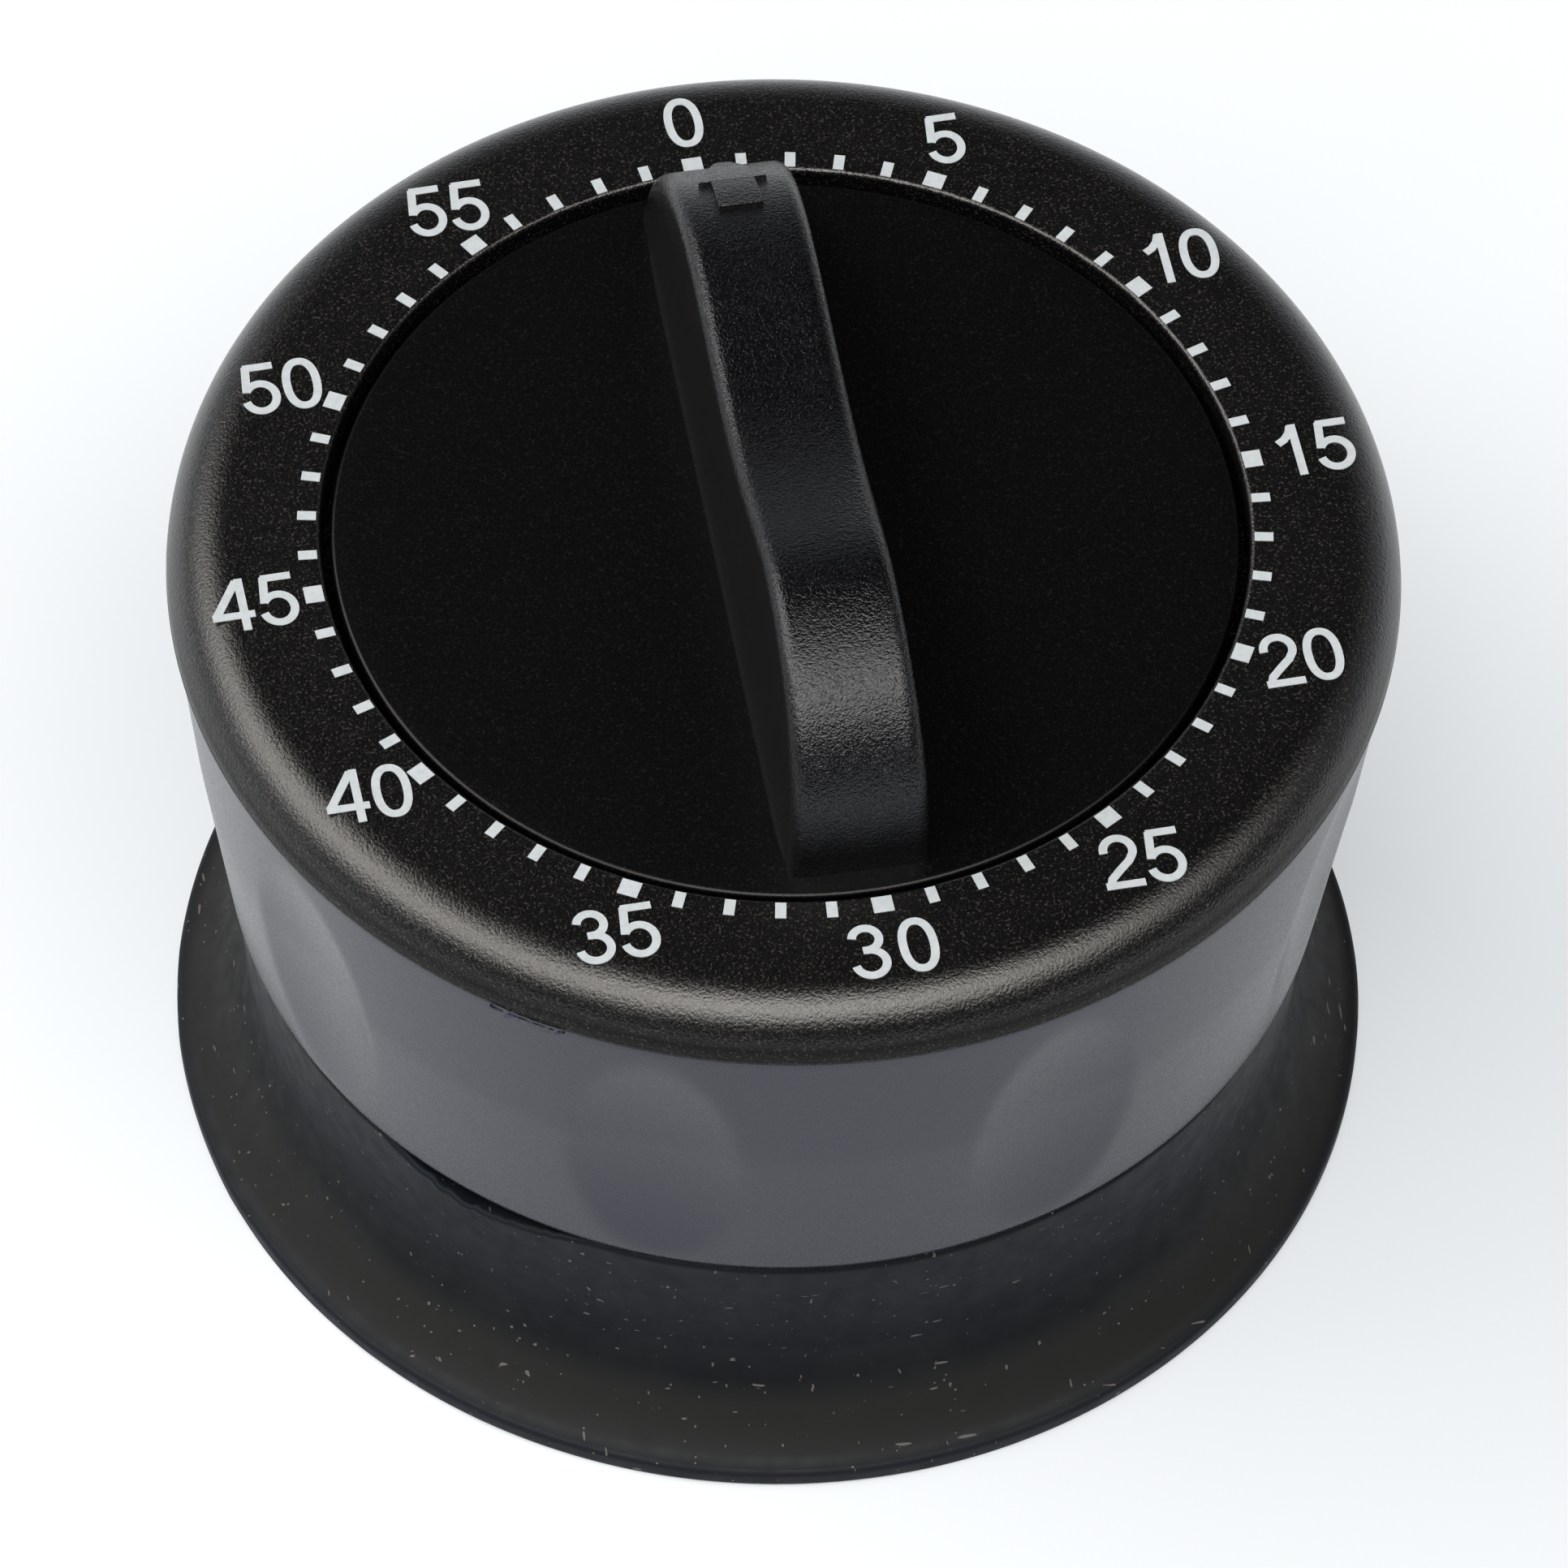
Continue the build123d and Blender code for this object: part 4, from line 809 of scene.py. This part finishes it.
def make_disc():
    top = DISC_Z * 1000
    under = top - DISC_T * 1000
    r = KNOB_R * 1000
    hub = KNOB_LOW.z * 1000
    corners = [
        (0, top, 0), (r, top, 0.3), (r, under, 0.2), (HUB_R, under, 0), (HUB_R, hub, 0.2), (BORE_R, hub, 0),
        (BORE_R, BORE_TOP, 0), (0, BORE_TOP, 0),
    ]
    piece = lathe("knob_disc", subdivided(rounded(corners, 8), mm(1.2)), DISC_BLACK, 360)
    return place(piece, "knob_and_arbor", "knob_plastic", "knob")


# --- stage --------------------------------------------------------------------------------
FLOOR_HALF = 3.0
FLOOR_TONES = ((0.50, 0.52, 0.55), (0.53, 0.55, 0.58))
FLOOR_GLOW = (0.90, 0.95, 1.0)


def make_floor():
    paint = Paint("pale_table")
    shade = paint.noise(0.05, 2.0)
    paint.set(Base_Color=paint.mix(shade, *FLOOR_TONES), Roughness=0.7)
    paint.set(Emission_Color=FLOOR_GLOW, Emission_Strength=0.35, Specular_IOR_Level=0.1)
    corners = [(x * FLOOR_HALF, y * FLOOR_HALF, 0) for x, y in ((-1, -1), (1, -1), (1, 1), (-1, 1))]
    floor = add_mesh("floor", corners, [(0, 1, 2, 3)], paint.material)


WARM_WHITE = (1.0, 0.965, 0.91)
LIGHT_DISTANCE = 1.45
# Name, azimuth and elevation in degrees, width and height in metres, watts.
LIGHTS = (
    ("key_left", -112, 44, 1.4, 0.9, 16), ("front_left", -48, 52, 1.0, 0.9, 11),
    ("front_top", 8, 60, 1.0, 0.95, 14), ("fill_right", 60, 48, 0.7, 0.6, 3),
)
WORLD_TINT = (0.92, 0.95, 1.0)
# Brightness of the surroundings against the upward part of the direction.
WORLD_LEVELS = ((0.0, 1.0), (0.40, 0.85), (0.52, 0.10), (0.62, 0.015), (1.0, 0.01))
# Strength behind the camera and ahead of it, and where along Y it changes.
WORLD_NEAR = (-0.35, 0.05)
WORLD_FAR = (0.25, 0.45)


def soft_light(name, azimuth, elevation, width, height, power):
    """Soft box that looks at the timer. Azimuth 0 is the camera's side, 90 is +X."""
    light = bpy.data.lights.new(name, "AREA")
    light.shape = "RECTANGLE"
    light.size, light.size_y = width, height
    light.energy = power
    light.color = WARM_WHITE
    lamp = bpy.data.objects.new(name, light)
    a, e = radians(azimuth), radians(elevation)
    back = Vector((sin(a) * cos(e), -cos(a) * cos(e), sin(e)))
    lamp.location = Vector((0, 0, FACE_Z)) + back * LIGHT_DISTANCE
    lamp.rotation_mode = "QUATERNION"
    lamp.rotation_quaternion = back.to_track_quat("Z", "Y")
    bpy.context.scene.collection.objects.link(lamp)


def make_surroundings():
    """White studio walls low down and a dark ceiling, so that level faces stay black."""
    world = bpy.data.worlds.new("studio")
    bpy.context.scene.world = world
    world.use_nodes = True
    tree = world.node_tree
    place_node = tree.nodes.new("ShaderNodeTexCoord")
    split = tree.nodes.new("ShaderNodeSeparateXYZ")
    ramp = tree.nodes.new("ShaderNodeValToRGB")
    tree.links.new(place_node.outputs["Generated"], split.inputs[0])
    tree.links.new(split.outputs["Z"], ramp.inputs["Fac"])
    while len(ramp.color_ramp.elements) < len(WORLD_LEVELS):
        ramp.color_ramp.elements.new(0.5)
    for element, (position, level) in zip(ramp.color_ramp.elements, WORLD_LEVELS):
        element.position = position
        element.color = (*(level * part for part in WORLD_TINT), 1)
    behind = tree.nodes.new("ShaderNodeMapRange")
    behind.inputs["From Min"].default_value, behind.inputs["To Min"].default_value = WORLD_NEAR
    behind.inputs["From Max"].default_value, behind.inputs["To Max"].default_value = WORLD_FAR
    tree.links.new(split.outputs["Y"], behind.inputs["Value"])
    back = tree.nodes["Background"]
    tree.links.new(ramp.outputs["Color"], back.inputs["Color"])
    tree.links.new(behind.outputs["Result"], back.inputs["Strength"])
    for name, azimuth, elevation, width, height, power in LIGHTS:
        soft_light(name, azimuth, elevation, width, height, power)
    bpy.context.scene.view_settings.view_transform = "Standard"


def make_camera():
    data = bpy.data.cameras.new("camera")
    data.lens = CAMERA_LENS
    data.sensor_width = SENSOR_W
    data.clip_start, data.clip_end = CLIP
    camera = bpy.data.objects.new("camera", data)
    a, e = radians(CAMERA_AZIMUTH), radians(CAMERA_ELEVATION)
    ahead = Vector((sin(a) * cos(e), cos(a) * cos(e), -sin(e)))
    camera.location = CAMERA_AIM - ahead * CAMERA_DISTANCE
    camera.rotation_mode = "QUATERNION"
    level = ahead.to_track_quat("-Z", "Y")
    camera.rotation_quaternion = level @ Matrix.Rotation(radians(CAMERA_ROLL), 3, "Z").to_quaternion()
    bpy.context.scene.collection.objects.link(camera)
    bpy.context.scene.camera = camera


paint_movement()
make_cap()
make_flash()
make_strokes()
make_numbers()
make_case()
make_foot()
make_disc()
make_grip()
make_arrow()
make_floor()
make_surroundings()
make_camera()
